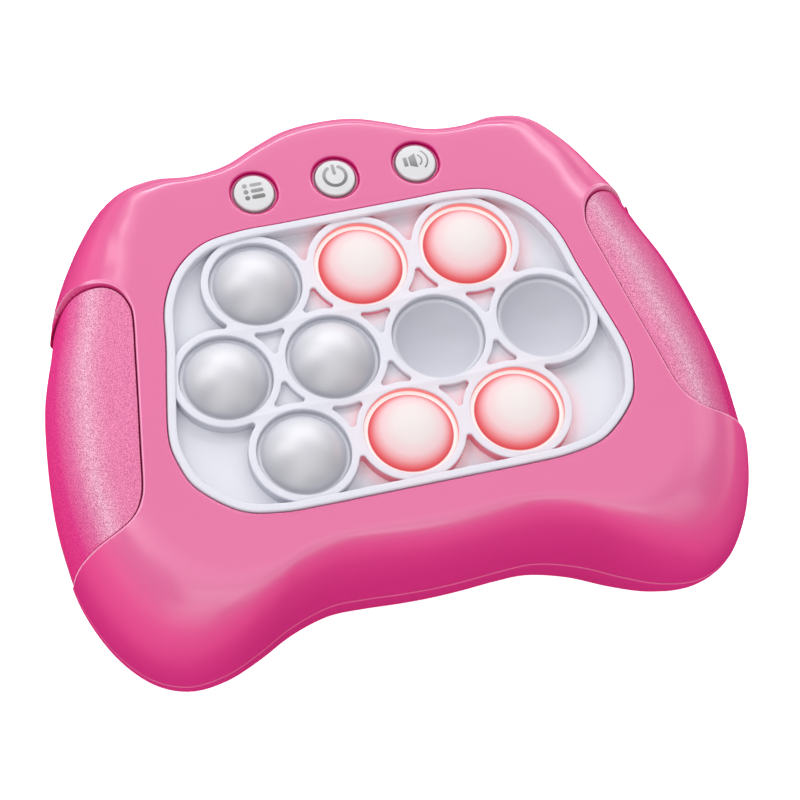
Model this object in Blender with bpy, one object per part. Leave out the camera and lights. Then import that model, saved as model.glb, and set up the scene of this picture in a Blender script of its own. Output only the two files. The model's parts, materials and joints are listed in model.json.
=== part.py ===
"""Handheld bubble pop game console, lying on its back.

Metres, +Z up, +X to the right, +Y towards the three control buttons.
The origin is the centre of the footprint, on the rest plane.
"""
import math

import bmesh
import bpy
import numpy as np
from mathutils import Matrix, Vector

for leftover in list(bpy.data.objects):
    bpy.data.objects.remove(leftover, do_unlink=True)

MM = 0.001

# Bubble field
ring_inner_radius = 12.4 * MM
ring_wall = 4.0 * MM
row_spacing_share = 0.877
row_counts = (3, 4, 3)
ring_depth = 3.5 * MM
mat_floor = 1.5 * MM
mat_flange = 1.8 * MM
rim_lip_width = 2.3 * MM
rim_lip_proud = 0.4 * MM

# Silicone bubbles
dome_height = 7.0 * MM
ledge_depth = 2.0 * MM
ledge_width = 0.9 * MM
silicone_wall = 1.2 * MM
stem_radius = 2.0 * MM
stem_below_ledge = 2.2 * MM
pill_thickness = 0.8 * MM
popped_bubbles = (6, 7)
lit_bubbles = (2, 3, 9, 10)

# Shells
window_margin = 3.84 * MM
window_side = 6.7 * MM
side_band = 30.2 * MM
top_band = 31.2 * MM
bottom_band = 30.0 * MM
shell_wall = 2.2 * MM
rear_depth = 11.4 * MM
panel_above_rings = 0.5 * MM
running_gap = 0.3 * MM

# Side grips
grip_sink = 0.8 * MM
grip_wall = 2.2 * MM
grip_lower_edge = 5.0 * MM
grip_overhang = 12.0 * MM

# Control buttons
button_radius = 5.4 * MM
button_hole_clearance = 0.8 * MM
button_spacing = 22.35 * MM
button_above_window = 10.45 * MM
button_sunk = 0.3 * MM
button_travel = 1.0 * MM
button_flange = 1.2 * MM
button_flange_thickness = 1.0 * MM
button_stem_radius = 1.6 * MM
button_stem_length = 2.5 * MM
button_edge_round = 0.8 * MM

# Button board and its switches
switch_size = 6.0 * MM
switch_body_height = 3.4 * MM
switch_plunger_radius = 1.7 * MM
switch_plunger_height = 0.9 * MM
button_board_depth = 12.6 * MM
button_board_thickness = 1.2 * MM
stake_radius = 1.1 * MM
stake_length = 1.0 * MM
stake_boss_radius = 2.6 * MM

# Main board and light baffle
board_thickness = 1.6 * MM
board_margin = 3.0 * MM
board_above_bay = 0.9 * MM
baffle_plate = 1.6 * MM
baffle_wall = 1.1 * MM
led_size = 4.0 * MM
led_height = 1.2 * MM
led_offset = 6.0 * MM
post_radius = 2.6 * MM
post_clearance = 1.0 * MM
upper_post_direction = 10
lower_post_direction = -45

# Batteries and their bay
battery_radius = 7.25 * MM
battery_length = 50.5 * MM
battery_nub_radius = 2.75 * MM
battery_nub_length = 1.2 * MM
battery_count = 3
contact_space = 4.5 * MM
contact_thickness = 0.5 * MM
contact_height = 11.0 * MM
contact_spring_radius = 3.0 * MM
contact_spring_tip = 2.0 * MM
bay_wall = 1.2 * MM
cover_recess = 0.3 * MM
cover_ear_length = 9.0 * MM
cover_ear_width = 10.0 * MM

# Fasteners
screw_shank_radius = 1.25 * MM
screw_head_radius = 2.6 * MM
screw_head_height = 1.8 * MM
screw_length = 14.0 * MM
cover_screw_length = 6.0 * MM
counterbore_depth = 4.0 * MM
boss_wall = 1.7 * MM
slot_width = 0.7 * MM
slot_depth = 0.9 * MM
top_screw_inset = 12.3 * MM
top_screw_rise = 12.5 * MM
lower_screw_inset = 28.0 * MM
lower_screw_drop = 12.5 * MM

# Loudspeaker
speaker_radius = 14.0 * MM
speaker_rim_height = 3.0 * MM
speaker_wall = 1.0 * MM
speaker_magnet_radius = 6.5 * MM
speaker_height = 6.0 * MM
speaker_inset = 2.3 * MM
speaker_rise = 14.1 * MM
cone_dome_share = 1 / 3
sound_hole_radius = 1.2 * MM
sound_hole_ring = 6.0 * MM
sound_hole_count = 6

# Mesh fineness
outline_points = 56
curve_steps = 4
ring_segments = 24
bubble_segments = 16
small_segments = 12
least_segments = 8
outline_steps = 8
cap_steps = 4
grip_patch_degrees = range(-40, 45, 6)
smooth_angle = math.radians(35)
overrun = 2.0 * MM
merge_distance = 0.005 * MM
rounding_slack = 1e-6
smallest_number = 1e-15

# Outline tables, from the top centre down the right side to the bottom centre
body_outline_shares = (
    (0.0, 1.0), (0.109, 0.988), (0.206, 0.942), (0.305, 0.887), (0.418, 0.870), (0.547, 0.903),
    (0.667, 0.867), (0.763, 0.742), (0.844, 0.577), (0.897, 0.393), (0.948, 0.212), (0.981, 0.0),
    (1.0, -0.21), (1.0, -0.40), (0.985, -0.60), (0.931, -0.797), (0.850, -0.936), (0.751, -0.997),
    (0.642, -0.984), (0.536, -0.928), (0.425, -0.853), (0.306, -0.805), (0.20, -0.804),
    (0.10, -0.813), (0.0, -0.817))
window_outline_shares = (
    (0.0, 1.0), (0.30, 1.0), (0.47, 1.0), (0.64, 0.955), (0.78, 0.80), (0.868, 0.565),
    (0.907, 0.285), (0.952, 0.0), (0.998, -0.33), (0.99, -0.52), (0.94, -0.72), (0.79, -0.925),
    (0.62, -0.99), (0.45, -1.0), (0.25, -1.0), (0.0, -1.0))
grip_outline_shares = (
    (1.0, 0.420), (0.93, 0.430), (0.888, 0.452), (0.858, 0.480), (0.815, 0.500), (0.770, 0.488),
    (0.727, 0.462), (0.694, 0.420), (0.676, 0.365), (0.674, 0.305), (0.697, 0.145),
    (0.723, -0.030), (0.750, -0.205), (0.774, -0.362), (0.793, -0.427), (0.819, -0.472),
    (0.856, -0.501), (0.905, -0.516), (0.96, -0.522))

# Where the flat panel ends, as a share of the way from window to body outline, by direction
panel_edge_shares = (
    (90, 0.83), (75, 0.82), (60, 0.79), (50, 0.68), (40, 0.47), (30, 0.34), (15, 0.26), (0, 0.24),
    (-15, 0.30), (-25, 0.40), (-35, 0.45), (-45, 0.45), (-55, 0.48), (-65, 0.52), (-90, 0.52))
base_edge_share = 0.82
# Squareness of the shoulder between panel and side wall, by direction; 2 is an ellipse
shoulder_power_shares = ((90, 3.0), (60, 3.0), (45, 2.5), (30, 2.1), (-30, 2.1), (-60, 2.2), (-90, 2.6))
base_power_share = 1.7

# Places that follow from the sizes above
bubble_pitch = 2 * ring_inner_radius + ring_wall
row_pitch = bubble_pitch * row_spacing_share
middle_row = (len(row_counts) - 1) / 2
widest_half = (max(row_counts) - 1) / 2
window_half_height = middle_row * row_pitch + ring_inner_radius + window_margin
window_half_width = widest_half * bubble_pitch + ring_inner_radius + window_side
body_half_width = window_half_width + side_band
body_half_length = window_half_height + (top_band + bottom_band) / 2
field_y = (bottom_band - top_band) / 2

# Heights, stacked from the base: battery bay, main board, bubbles pressed in, rings, panel
bubble_travel = 2 * dome_height
battery_z = shell_wall + running_gap + battery_radius
bay_ceiling_z = battery_z + battery_radius + running_gap
board_base_z = bay_ceiling_z + bay_wall + board_above_bay
board_top_z = board_base_z + board_thickness
baffle_foot_z = board_top_z + running_gap
ledge_z = board_top_z + running_gap + bubble_travel + stem_below_ledge
ring_top = ledge_z + ledge_depth
panel_height = ring_top + panel_above_rings
flange_radius = ring_inner_radius - running_gap
dome_radius = flange_radius - ledge_width
mat_floor_z = ring_top - ring_depth
mat_base_z = mat_floor_z - mat_floor
panel_under_z = panel_height - shell_wall
baffle_top_z = mat_base_z - running_gap
baffle_plate_z = baffle_top_z - baffle_plate


# Shape helpers
def closed_curve(half_points, steps=outline_steps):
    """Smooth closed outline through a half outline and its mirror image."""
    points = list(half_points) + [(-x, y) for x, y in reversed(half_points[1:-1])]
    count = len(points)
    curve = []
    for i in range(count):
        a, b, c, d = (np.array(points[(i + k - 1) % count]) for k in range(4))
        for step in range(steps):
            t = step / steps
            curve.append((2 * b + (c - a) * t + (2 * a - 5 * b + 4 * c - d) * t ** 2
                          + (3 * b - a - 3 * c + d) * t ** 3) / 2)
    return np.array(curve)


def offset_outline(outline, distance):
    """Outline moved outwards by a distance along its own normals; it runs clockwise."""
    along = np.roll(outline, -1, axis=0) - np.roll(outline, 1, axis=0)
    along /= np.linalg.norm(along, axis=1)[:, None]
    return outline + distance * np.stack([-along[:, 1], along[:, 0]], axis=1)


def reach(outline, angle):
    """Distance from the middle of the bubble field to an outline in one direction."""
    direction = np.array([math.cos(angle), math.sin(angle)])
    edge = np.roll(outline, -1, axis=0) - outline
    cross = direction[1] * edge[:, 0] - direction[0] * edge[:, 1]
    cross = np.where(np.abs(cross) < smallest_number, smallest_number, cross)
    distance = (outline[:, 1] * edge[:, 0] - outline[:, 0] * edge[:, 1]) / cross
    along = (direction[0] * outline[:, 1] - direction[1] * outline[:, 0]) / cross
    hit = (along > -rounding_slack) & (along < 1 + rounding_slack) & (distance > 0)
    return distance[hit].max()


def by_direction(table, angle):
    """Value of a table for one direction, the same on both sides, eased between rows."""
    degrees = math.degrees(math.asin(math.sin(angle)))
    for (high, first), (low, second) in zip(table, table[1:]):
        if degrees >= low - rounding_slack:
            t = (high - degrees) / (high - low)
            return first + (second - first) * t * t * (3 - 2 * t)
    return table[-1][1]


field = np.array([0.0, field_y])
body_outline = closed_curve(
    [(x * body_half_width, y * body_half_length) for x, y in body_outline_shares]) - field
window_outline = closed_curve(
    [(x * window_half_width, y * window_half_height) for x, y in window_outline_shares])


def even_directions(outline, count):
    """Directions of points evenly spaced along an outline."""
    steps = np.linalg.norm(np.roll(outline, -1, axis=0) - outline, axis=1)
    travelled = np.concatenate([[0], np.cumsum(steps)])
    ring = np.vstack([outline, outline[:1]])
    marks = (np.arange(count) + 0.5) * travelled[-1] / count
    return [math.atan2(np.interp(mark, travelled, ring[:, 1]), np.interp(mark, travelled, ring[:, 0]))
            for mark in marks]


directions = even_directions(body_outline, outline_points)


def shell_point(angle, stage, inset, side_outline, seam_height):
    """Point on the shell's skin: stage 0 panel edge, 1 seam, 2 base edge; inset goes inwards."""
    window = reach(window_outline, angle)
    body = reach(body_outline, angle)
    side = reach(side_outline, angle)
    if stage <= 1:
        edge = window + (body - window) * by_direction(panel_edge_shares, angle)
        power = 2 / by_direction(shoulder_power_shares, angle)
        turn = stage * math.pi / 2
        start_z = panel_height - inset
    else:
        edge = window + (body - window) * base_edge_share
        power = 2 / base_power_share
        turn = (2 - stage) * math.pi / 2
        start_z = inset
    distance = edge + (side - edge) * math.sin(turn) ** power
    height = start_z + (seam_height - start_z) * (1 - math.cos(turn) ** power)
    return Vector((distance * math.cos(angle), distance * math.sin(angle) + field_y, height))


def skin_loop(stage, inset, seam_height, angles):
    side_outline = offset_outline(body_outline, -inset)
    return [shell_point(angle, stage, inset, side_outline, seam_height) for angle in angles]


def window_loop(extra, height, angles):
    outline = offset_outline(window_outline, extra)
    reaches = [reach(outline, angle) for angle in angles]
    return [Vector((r * math.cos(a), r * math.sin(a) + field_y, height))
            for r, a in zip(reaches, angles)]


def add_loop(mesh, points):
    verts = [mesh.verts.new(point) for point in points]
    return verts, [mesh.edges.new((verts[i - 1], verts[i])) for i in range(len(verts))]


def loft(loops, closed_round):
    """Skin a row of closed loops; the ends are capped, or joined to each other."""
    mesh = bmesh.new()
    rings = [add_loop(mesh, points) for points in loops]
    pairs = list(zip(rings, rings[1:]))
    if closed_round:
        pairs.append((rings[-1], rings[0]))
    else:
        mesh.faces.new(rings[0][0])
        mesh.faces.new(rings[-1][0])
    for (lower, _), (upper, _) in pairs:
        for i in range(len(lower)):
            mesh.faces.new((lower[i - 1], lower[i], upper[i], upper[i - 1]))
    bmesh.ops.recalc_face_normals(mesh, faces=mesh.faces)
    return mesh


def prism(points, low, high):
    """Upright block over an outline."""
    return loft([[Vector((x, y, low)) for x, y in points],
                 [Vector((x, y, high)) for x, y in points]], False)


def block(size_x, size_y, low, high):
    x, y = size_x / 2, size_y / 2
    return prism([(-x, -y), (x, -y), (x, y), (-x, y)], low, high)


def turned(profile, segments):
    """Solid of revolution about Z; the profile runs from the axis back to the axis."""
    mesh = bmesh.new()
    verts = [mesh.verts.new((radius, 0.0, height)) for radius, height in profile]
    edges = [mesh.edges.new(pair) for pair in zip(verts, verts[1:])]
    bmesh.ops.spin(mesh, geom=verts + edges, cent=(0, 0, 0), axis=(0, 0, 1),
                   angle=math.tau, steps=segments, use_merge=True)
    bmesh.ops.remove_doubles(mesh, verts=mesh.verts, dist=merge_distance)
    bmesh.ops.recalc_face_normals(mesh, faces=mesh.faces)
    return mesh


def rod(radius, low, high, segments=small_segments):
    return turned([(0, low), (radius, low), (radius, high), (0, high)], segments)


def shift(mesh, x=0.0, y=0.0, z=0.0):
    bmesh.ops.translate(mesh, verts=mesh.verts, vec=(x, y, z))
    return mesh


def gather(meshes):
    """Several meshes in one, as the separate parts of one cutter."""
    whole = bmesh.new()
    for piece in meshes:
        data = bpy.data.meshes.new("part_of_cutter")
        piece.to_mesh(data)
        piece.free()
        whole.from_mesh(data)
        bpy.data.meshes.remove(data)
    return whole


def finish_material(name, colour, roughness, metallic=0.0, glow=0.0):
    made = bpy.data.materials.new(name)
    made.use_nodes = True
    shader = made.node_tree.nodes["Principled BSDF"]
    shader.inputs["Base Color"].default_value = (*colour, 1)
    shader.inputs["Roughness"].default_value = roughness
    shader.inputs["Metallic"].default_value = metallic
    shader.inputs["Emission Color"].default_value = (*colour, 1)
    shader.inputs["Emission Strength"].default_value = glow
    return made


def add_node(name, mesh, finish, place=(0, 0, 0), parent=None):
    data = bpy.data.meshes.new(name)
    mesh.to_mesh(data)
    mesh.free()
    data.materials.append(finish)
    data.shade_smooth()
    data.set_sharp_from_angle(angle=smooth_angle)
    made = bpy.data.objects.new(name, data)
    made.location = place
    made.parent = parent
    bpy.context.collection.objects.link(made)
    return made


def add_cutter(name, mesh):
    made = add_node(name, mesh, cutter_finish)
    made.hide_render = True
    made.display_type = "WIRE"
    return made


def combine(target, tool, operation):
    step = target.modifiers.new(operation.lower() + "_" + tool.name, "BOOLEAN")
    step.operation = operation
    step.object = tool
    step.solver = "EXACT"
    tidy = target.modifiers.new("tidy_" + tool.name, "WELD")
    tidy.merge_threshold = merge_distance


additions = []
cuts = []


def weld(target, tool):
    additions.append((target, tool))


def carve(target, tool):
    cuts.append((target, tool))


# Finishes
pink_shell = finish_material("pink_abs_shell", (0.86, 0.20, 0.42), 0.35)
pink_grip = finish_material("textured_pink_grip", (0.80, 0.12, 0.36), 0.6)
white_silicone = finish_material("white_silicone", (0.80, 0.81, 0.84), 0.45)
bubble_silicone = finish_material("translucent_silicone", (0.70, 0.71, 0.75), 0.4)
lit_silicone = finish_material("lit_red_silicone", (0.95, 0.28, 0.28), 0.4, glow=0.6)
button_plastic = finish_material("white_button_abs", (0.85, 0.85, 0.85), 0.35)
baffle_plastic = finish_material("white_baffle_abs", (0.75, 0.75, 0.75), 0.5)
board_green = finish_material("circuit_board", (0.03, 0.22, 0.09), 0.5)
steel = finish_material("zinc_plated_steel", (0.62, 0.62, 0.60), 0.35, 1.0)
black_part = finish_material("black_plastic", (0.03, 0.03, 0.03), 0.5)
carbon = finish_material("carbon_rubber", (0.02, 0.02, 0.02), 0.8)
led_finish = finish_material("led_package", (0.85, 0.80, 0.70), 0.3)
battery_finish = finish_material("battery_jacket", (0.15, 0.16, 0.18), 0.3, 0.5)
cutter_finish = finish_material("cutter", (0.5, 0.5, 0.5), 0.5)


# Bubble places, row by row from the top left
def bubble_places():
    places = []
    for row, count in enumerate(row_counts):
        y = field_y + (middle_row - row) * row_pitch
        for column in range(count):
            places.append(((column - (count - 1) / 2) * bubble_pitch, y))
    return places


bubbles = bubble_places()

# Front shell
seam_gap_half = running_gap / 2
front_seam_z = rear_depth + seam_gap_half
rear_seam_z = rear_depth - seam_gap_half
stages = [step / curve_steps for step in range(curve_steps, -1, -1)]
front_loops = [skin_loop(stage, 0, front_seam_z, directions) for stage in stages]
front_loops += [window_loop(0, panel_height, directions), window_loop(0, panel_under_z, directions)]
front_loops += [skin_loop(stage, shell_wall, front_seam_z, directions) for stage in reversed(stages)]
front_shell = add_node("front_shell", loft(front_loops, True), pink_shell)

# Rear shell, a shallow tray with a flat base
rear_stages = [1 + step / curve_steps for step in range(curve_steps, -1, -1)]
rear_loops = [skin_loop(stage, 0, rear_seam_z, directions) for stage in rear_stages]
rear_loops += [skin_loop(stage, shell_wall, rear_seam_z, directions) for stage in reversed(rear_stages)]
rear_shell = add_node("rear_shell", loft(rear_loops, False), pink_shell)

# Grip openings in both shells, and the grips that fill them
grip_top_z = panel_height + overrun


def grip_outline(side, shrink):
    """Grip boundary seen from above, closed outside the body."""
    raw = np.array([(x * body_half_width, y * body_half_length) for x, y in grip_outline_shares])
    along = np.gradient(raw, axis=0)
    along /= np.linalg.norm(along, axis=1)[:, None]
    raw = raw + shrink * np.stack([-along[:, 1], along[:, 0]], axis=1)
    outer = body_half_width + grip_overhang
    points = [(outer, raw[0][1])] + [tuple(p) for p in raw] + [(outer, raw[-1][1])]
    return [(side * x, y) for x, y in points]


def grip_patch(side):
    """Curved side panel a little below the shell's own skin, wider than the grip opening."""
    span = [math.radians(degrees) for degrees in grip_patch_degrees]
    angles = span if side > 0 else [math.pi - angle for angle in span]
    rows = [window_loop(rim_lip_width, panel_height - grip_sink, angles)]
    inner_inset = grip_sink + grip_wall
    levels = [step / curve_steps for step in range(2 * curve_steps)]
    rows += [skin_loop(level, grip_sink, rear_depth, angles) for level in levels]
    rows += [skin_loop(level, inner_inset, rear_depth, angles) for level in reversed(levels)]
    rows += [window_loop(rim_lip_width, panel_height - inner_inset, angles)]
    return loft([list(column) for column in zip(*rows)], False)


for side, label in ((-1, "left"), (1, "right")):
    opening = add_cutter(label + "_grip_opening",
                         prism(grip_outline(side, 0), grip_lower_edge, grip_top_z))
    carve(front_shell, opening)
    carve(rear_shell, opening)
    trim = add_cutter(label + "_grip_trim",
                      prism(grip_outline(side, running_gap), grip_lower_edge + running_gap, grip_top_z))
    grip = add_node(label + "_grip", grip_patch(side), pink_grip)
    combine(grip, trim, "INTERSECT")

# White mat with its rings, seen through the window
ring_outer_radius = bubble_pitch / 2 + running_gap
mat_flange_top = panel_under_z - running_gap
lip_outer = window_loop(-running_gap, 0, directions)
lip_inner = window_loop(-running_gap - rim_lip_width, 0, directions)
flange_outer = window_loop(mat_flange, 0, directions)


def at_height(loop, height):
    return [Vector((point.x, point.y, height)) for point in loop]


lip_top_z = panel_height + rim_lip_proud
bubble_mat = add_node("bubble_mat", loft([
    at_height(flange_outer, mat_base_z), at_height(flange_outer, mat_flange_top),
    at_height(lip_outer, mat_flange_top), at_height(lip_outer, lip_top_z)], False), white_silicone)
recess = add_cutter("mat_recess", prism([(p.x, p.y) for p in lip_inner],
                                        mat_floor_z, lip_top_z + overrun))
for number, (x, y) in enumerate(bubbles, 1):
    ring = add_cutter(f"ring_core_{number}",
                      shift(rod(ring_outer_radius, mat_base_z, ring_top, ring_segments), x, y))
    carve(recess, ring)
carve(bubble_mat, recess)
bores = add_cutter("bubble_bores", gather(
    [shift(rod(ring_inner_radius, board_top_z, panel_height + overrun, ring_segments), x, y)
     for x, y in bubbles]))
carve(bubble_mat, bores)

# Light baffle: a plate under the mat with one well for each bubble
plate_outline = [(p.x, p.y) for p in window_loop(board_margin, 0, directions)]
light_baffle = add_node("light_baffle", prism(plate_outline, baffle_plate_z, baffle_top_z),
                        baffle_plastic)
wells = add_cutter("baffle_wells", gather(
    [shift(rod(ring_inner_radius + baffle_wall, baffle_foot_z, baffle_top_z - baffle_plate / 2,
               ring_segments), x, y) for x, y in bubbles]))
weld(light_baffle, wells)
carve(light_baffle, bores)


# Silicone bubbles, each with its stem and carbon contact pill
def cap_arc(radius, height, steps=cap_steps):
    """Points of a shallow round cap from its crown out to its foot, crown at full height."""
    sphere = (radius ** 2 + height ** 2) / (2 * height)
    half_angle = math.asin(radius / sphere)
    return [(sphere * math.sin(half_angle * i / steps),
             sphere * math.cos(half_angle * i / steps) - sphere + height) for i in range(steps + 1)]


def bubble_mesh(popped):
    stem_tip = pill_thickness + running_gap - stem_below_ledge
    outer = cap_arc(dome_radius, dome_height)
    foot = [(flange_radius, 0), (flange_radius, -silicone_wall)]
    if popped:
        outer = [(radius, -height) for radius, height in outer]
        inner = [(radius, -height - silicone_wall) for radius, height in cap_arc(dome_radius, dome_height)]
        stem_tip -= bubble_travel
    else:
        inner = [(radius, height) for radius, height in
                 cap_arc(dome_radius - silicone_wall, dome_height - silicone_wall)]
        inner[-1] = (inner[-1][0], -silicone_wall)
    inner = [(radius, height) for radius, height in inner if radius > stem_radius]
    root_height = inner[0][1]
    stem = [(stem_radius, root_height), (stem_radius, stem_tip), (0, stem_tip)]
    return turned(outer + foot + inner[::-1] + stem, bubble_segments)


for number, (x, y) in enumerate(bubbles, 1):
    popped = number in popped_bubbles
    finish = lit_silicone if number in lit_bubbles else bubble_silicone
    bubble = add_node(f"bubble_{number}", bubble_mesh(popped), finish, (x, y, ledge_z))
    pill_low = -stem_below_ledge - (bubble_travel if popped else 0)
    pill = rod(stem_radius, pill_low, pill_low + pill_thickness, least_segments)
    add_node(f"contact_pill_{number}", pill, carbon, (0, 0, 0), bubble)

# Main board with one light for each bubble
main_board = add_node("main_board", prism(plate_outline, board_base_z, board_top_z), board_green)
for number, (x, y) in enumerate(bubbles, 1):
    add_node(f"led_{number}", block(led_size, led_size, 0, led_height), led_finish,
             (x, y - led_offset, board_top_z + running_gap))

# Control buttons over their switches
button_y = field_y + window_half_height + button_above_window
button_flange_radius = button_radius + button_hole_clearance + button_flange
button_flange_z = panel_under_z - running_gap
button_stem_tip = button_flange_z - button_flange_thickness - button_stem_length
switch_top_z = button_stem_tip - button_travel - running_gap
button_board_z = switch_top_z - switch_plunger_height - switch_body_height - running_gap
cap_top = panel_height - button_sunk


def button_mesh():
    return turned([(0, cap_top), (button_radius - button_edge_round, cap_top),
                   (button_radius, cap_top - button_edge_round), (button_radius, button_flange_z),
                   (button_flange_radius, button_flange_z),
                   (button_flange_radius, button_flange_z - button_flange_thickness),
                   (button_stem_radius, button_flange_z - button_flange_thickness),
                   (button_stem_radius, button_stem_tip), (0, button_stem_tip)], bubble_segments)


button_places = [(-button_spacing, "menu"), (0.0, "power"), (button_spacing, "volume")]
button_holes = add_cutter("button_holes", gather(
    [shift(rod(button_radius + button_hole_clearance, panel_under_z - overrun,
               panel_height + overrun, bubble_segments), x, button_y) for x, _ in button_places]))
carve(front_shell, button_holes)
for x, label in button_places:
    add_node(label + "_button", shift(button_mesh(), z=-cap_top), button_plastic, (x, button_y, cap_top))
    switch = add_node(label + "_switch", block(switch_size, switch_size, 0, switch_body_height),
                      black_part, (x, button_y, button_board_z + running_gap))
    plunger = add_cutter(label + "_switch_plunger", shift(
        rod(switch_plunger_radius, switch_body_height / 2, switch_body_height + switch_plunger_height),
        x, button_y, button_board_z + running_gap))
    weld(switch, plunger)

# Button board, heat staked on two bosses of the front shell
stake_x = button_spacing + button_flange_radius + stake_boss_radius + 2 * running_gap
board_half_x = stake_x + stake_boss_radius
button_board = add_node("button_board", block(
    2 * board_half_x, button_board_depth, -button_board_thickness, 0), board_green,
    (0, button_y, button_board_z))
stake_base = button_board_z - button_board_thickness - stake_length
for side in (-1, 1):
    boss = add_cutter(f"stake_boss_{side}", shift(
        rod(stake_boss_radius, button_board_z + running_gap, panel_height - shell_wall / 2),
        side * stake_x, button_y))
    pin = add_cutter(f"stake_pin_{side}", shift(
        rod(stake_radius, stake_base, button_board_z + overrun), side * stake_x, button_y))
    hole = add_cutter(f"stake_hole_{side}", shift(
        rod(stake_radius + running_gap, stake_base, button_board_z + overrun),
        side * stake_x, button_y))
    weld(front_shell, boss)
    weld(front_shell, pin)
    carve(button_board, hole)

# Case screws, driven from behind into bosses of the front shell
screw_boss_radius = screw_shank_radius + running_gap + boss_wall
rear_boss_radius = screw_head_radius + running_gap + boss_wall
head_seat_z = counterbore_depth + screw_head_height
top_centre_y = (button_y + max(button_board_depth / 2, button_flange_radius)
                + screw_boss_radius + 2 * running_gap)
top_screw_x = window_half_width - top_screw_inset
lower_screw_x = body_half_width - lower_screw_inset
screw_places = [
    (-top_screw_x, field_y + window_half_height + top_screw_rise),
    (top_screw_x, field_y + window_half_height + top_screw_rise),
    (0.0, top_centre_y),
    (-lower_screw_x, field_y - window_half_height - lower_screw_drop),
    (lower_screw_x, field_y - window_half_height - lower_screw_drop)]


def screw_mesh(length):
    """Pan head screw, tip up, with its driving slot cut in the head."""
    tip = length + screw_shank_radius
    return turned([(0, -screw_head_height), (screw_head_radius - slot_width, -screw_head_height),
                   (screw_head_radius, -screw_head_height / 2), (screw_head_radius, 0),
                   (screw_shank_radius, 0), (screw_shank_radius, length), (0, tip)], small_segments)


screw_reach = head_seat_z + screw_length + screw_shank_radius + running_gap
rear_bosses = add_cutter("rear_bosses", gather(
    [shift(rod(rear_boss_radius, shell_wall / 2, rear_seam_z), x, y) for x, y in screw_places]))
front_bosses = add_cutter("front_bosses", gather(
    [shift(rod(screw_boss_radius, front_seam_z, panel_height - shell_wall / 2), x, y)
     for x, y in screw_places]))
screw_bores = add_cutter("screw_bores", gather(
    [shift(turned([(0, -overrun), (screw_head_radius + running_gap, -overrun),
                   (screw_head_radius + running_gap, head_seat_z),
                   (screw_shank_radius + running_gap, head_seat_z),
                   (screw_shank_radius + running_gap, screw_reach), (0, screw_reach)],
                  small_segments), x, y) for x, y in screw_places]))
weld(rear_shell, rear_bosses)
weld(front_shell, front_bosses)
carve(rear_shell, screw_bores)
carve(front_shell, screw_bores)
slots = add_cutter("screw_slots", gather(
    [shift(block(2 * screw_head_radius + overrun, slot_width, -overrun, slot_depth), x, y,
           head_seat_z - running_gap - screw_head_height) for x, y in screw_places]))
for number, (x, y) in enumerate(screw_places, 1):
    screw = add_node(f"case_screw_{number}", screw_mesh(screw_length), steel,
                     (x, y, head_seat_z - running_gap))
    carve(screw, slots)

# Battery bay, open through the base, with posts for the main board
battery_pitch = 2 * battery_radius + running_gap
bay_length = battery_length + 2 * contact_space
bay_width = battery_count * battery_pitch + running_gap
cover_boss_x = bay_length / 2 + cover_ear_length / 2
cover_boss_radius = screw_shank_radius + running_gap + boss_wall
bay_block = add_cutter("bay_block", block(
    bay_length + 2 * bay_wall, bay_width + 2 * bay_wall, shell_wall / 2, bay_ceiling_z + bay_wall))
bay_space = add_cutter("bay_space", block(bay_length, bay_width, -overrun, bay_ceiling_z))
ear_space = add_cutter("ear_space", shift(
    block(cover_ear_length + overrun, cover_ear_width, -overrun, shell_wall + running_gap),
    x=bay_length / 2 + cover_ear_length / 2 - overrun / 2))
cover_boss = add_cutter("cover_boss", shift(
    block(cover_ear_length - 2 * running_gap, cover_boss_radius * 2, shell_wall / 2,
          bay_ceiling_z - running_gap), x=cover_boss_x))
cover_bore = add_cutter("cover_bore", shift(
    rod(screw_shank_radius + running_gap, 0, shell_wall + cover_screw_length + running_gap
        + screw_shank_radius), x=cover_boss_x))
weld(rear_shell, bay_block)
weld(rear_shell, cover_boss)
for tool in (bay_space, ear_space, cover_bore):
    carve(rear_shell, tool)

post_reach = ring_inner_radius + baffle_wall + post_radius + post_clearance
post_places = []
for (corner_x, corner_y), degrees in ((bubbles[2], upper_post_direction),
                                      (bubbles[-1], lower_post_direction)):
    x = corner_x + post_reach * math.cos(math.radians(degrees))
    y = corner_y + post_reach * math.sin(math.radians(degrees))
    post_places += [(-x, y), (x, y)]
posts = add_cutter("board_posts", gather(
    [shift(rod(post_radius, shell_wall / 2, board_base_z - running_gap), x, y)
     for x, y in post_places]))
pins = add_cutter("board_pins", gather(
    [shift(rod(stake_radius, board_base_z - overrun, board_top_z + stake_length / 2), x, y)
     for x, y in post_places]))
pin_holes = add_cutter("board_pin_holes", gather(
    [shift(rod(stake_radius + running_gap, board_base_z - overrun, board_top_z + overrun), x, y)
     for x, y in post_places]))
weld(rear_shell, posts)
weld(rear_shell, pins)
carve(main_board, pin_holes)

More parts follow.
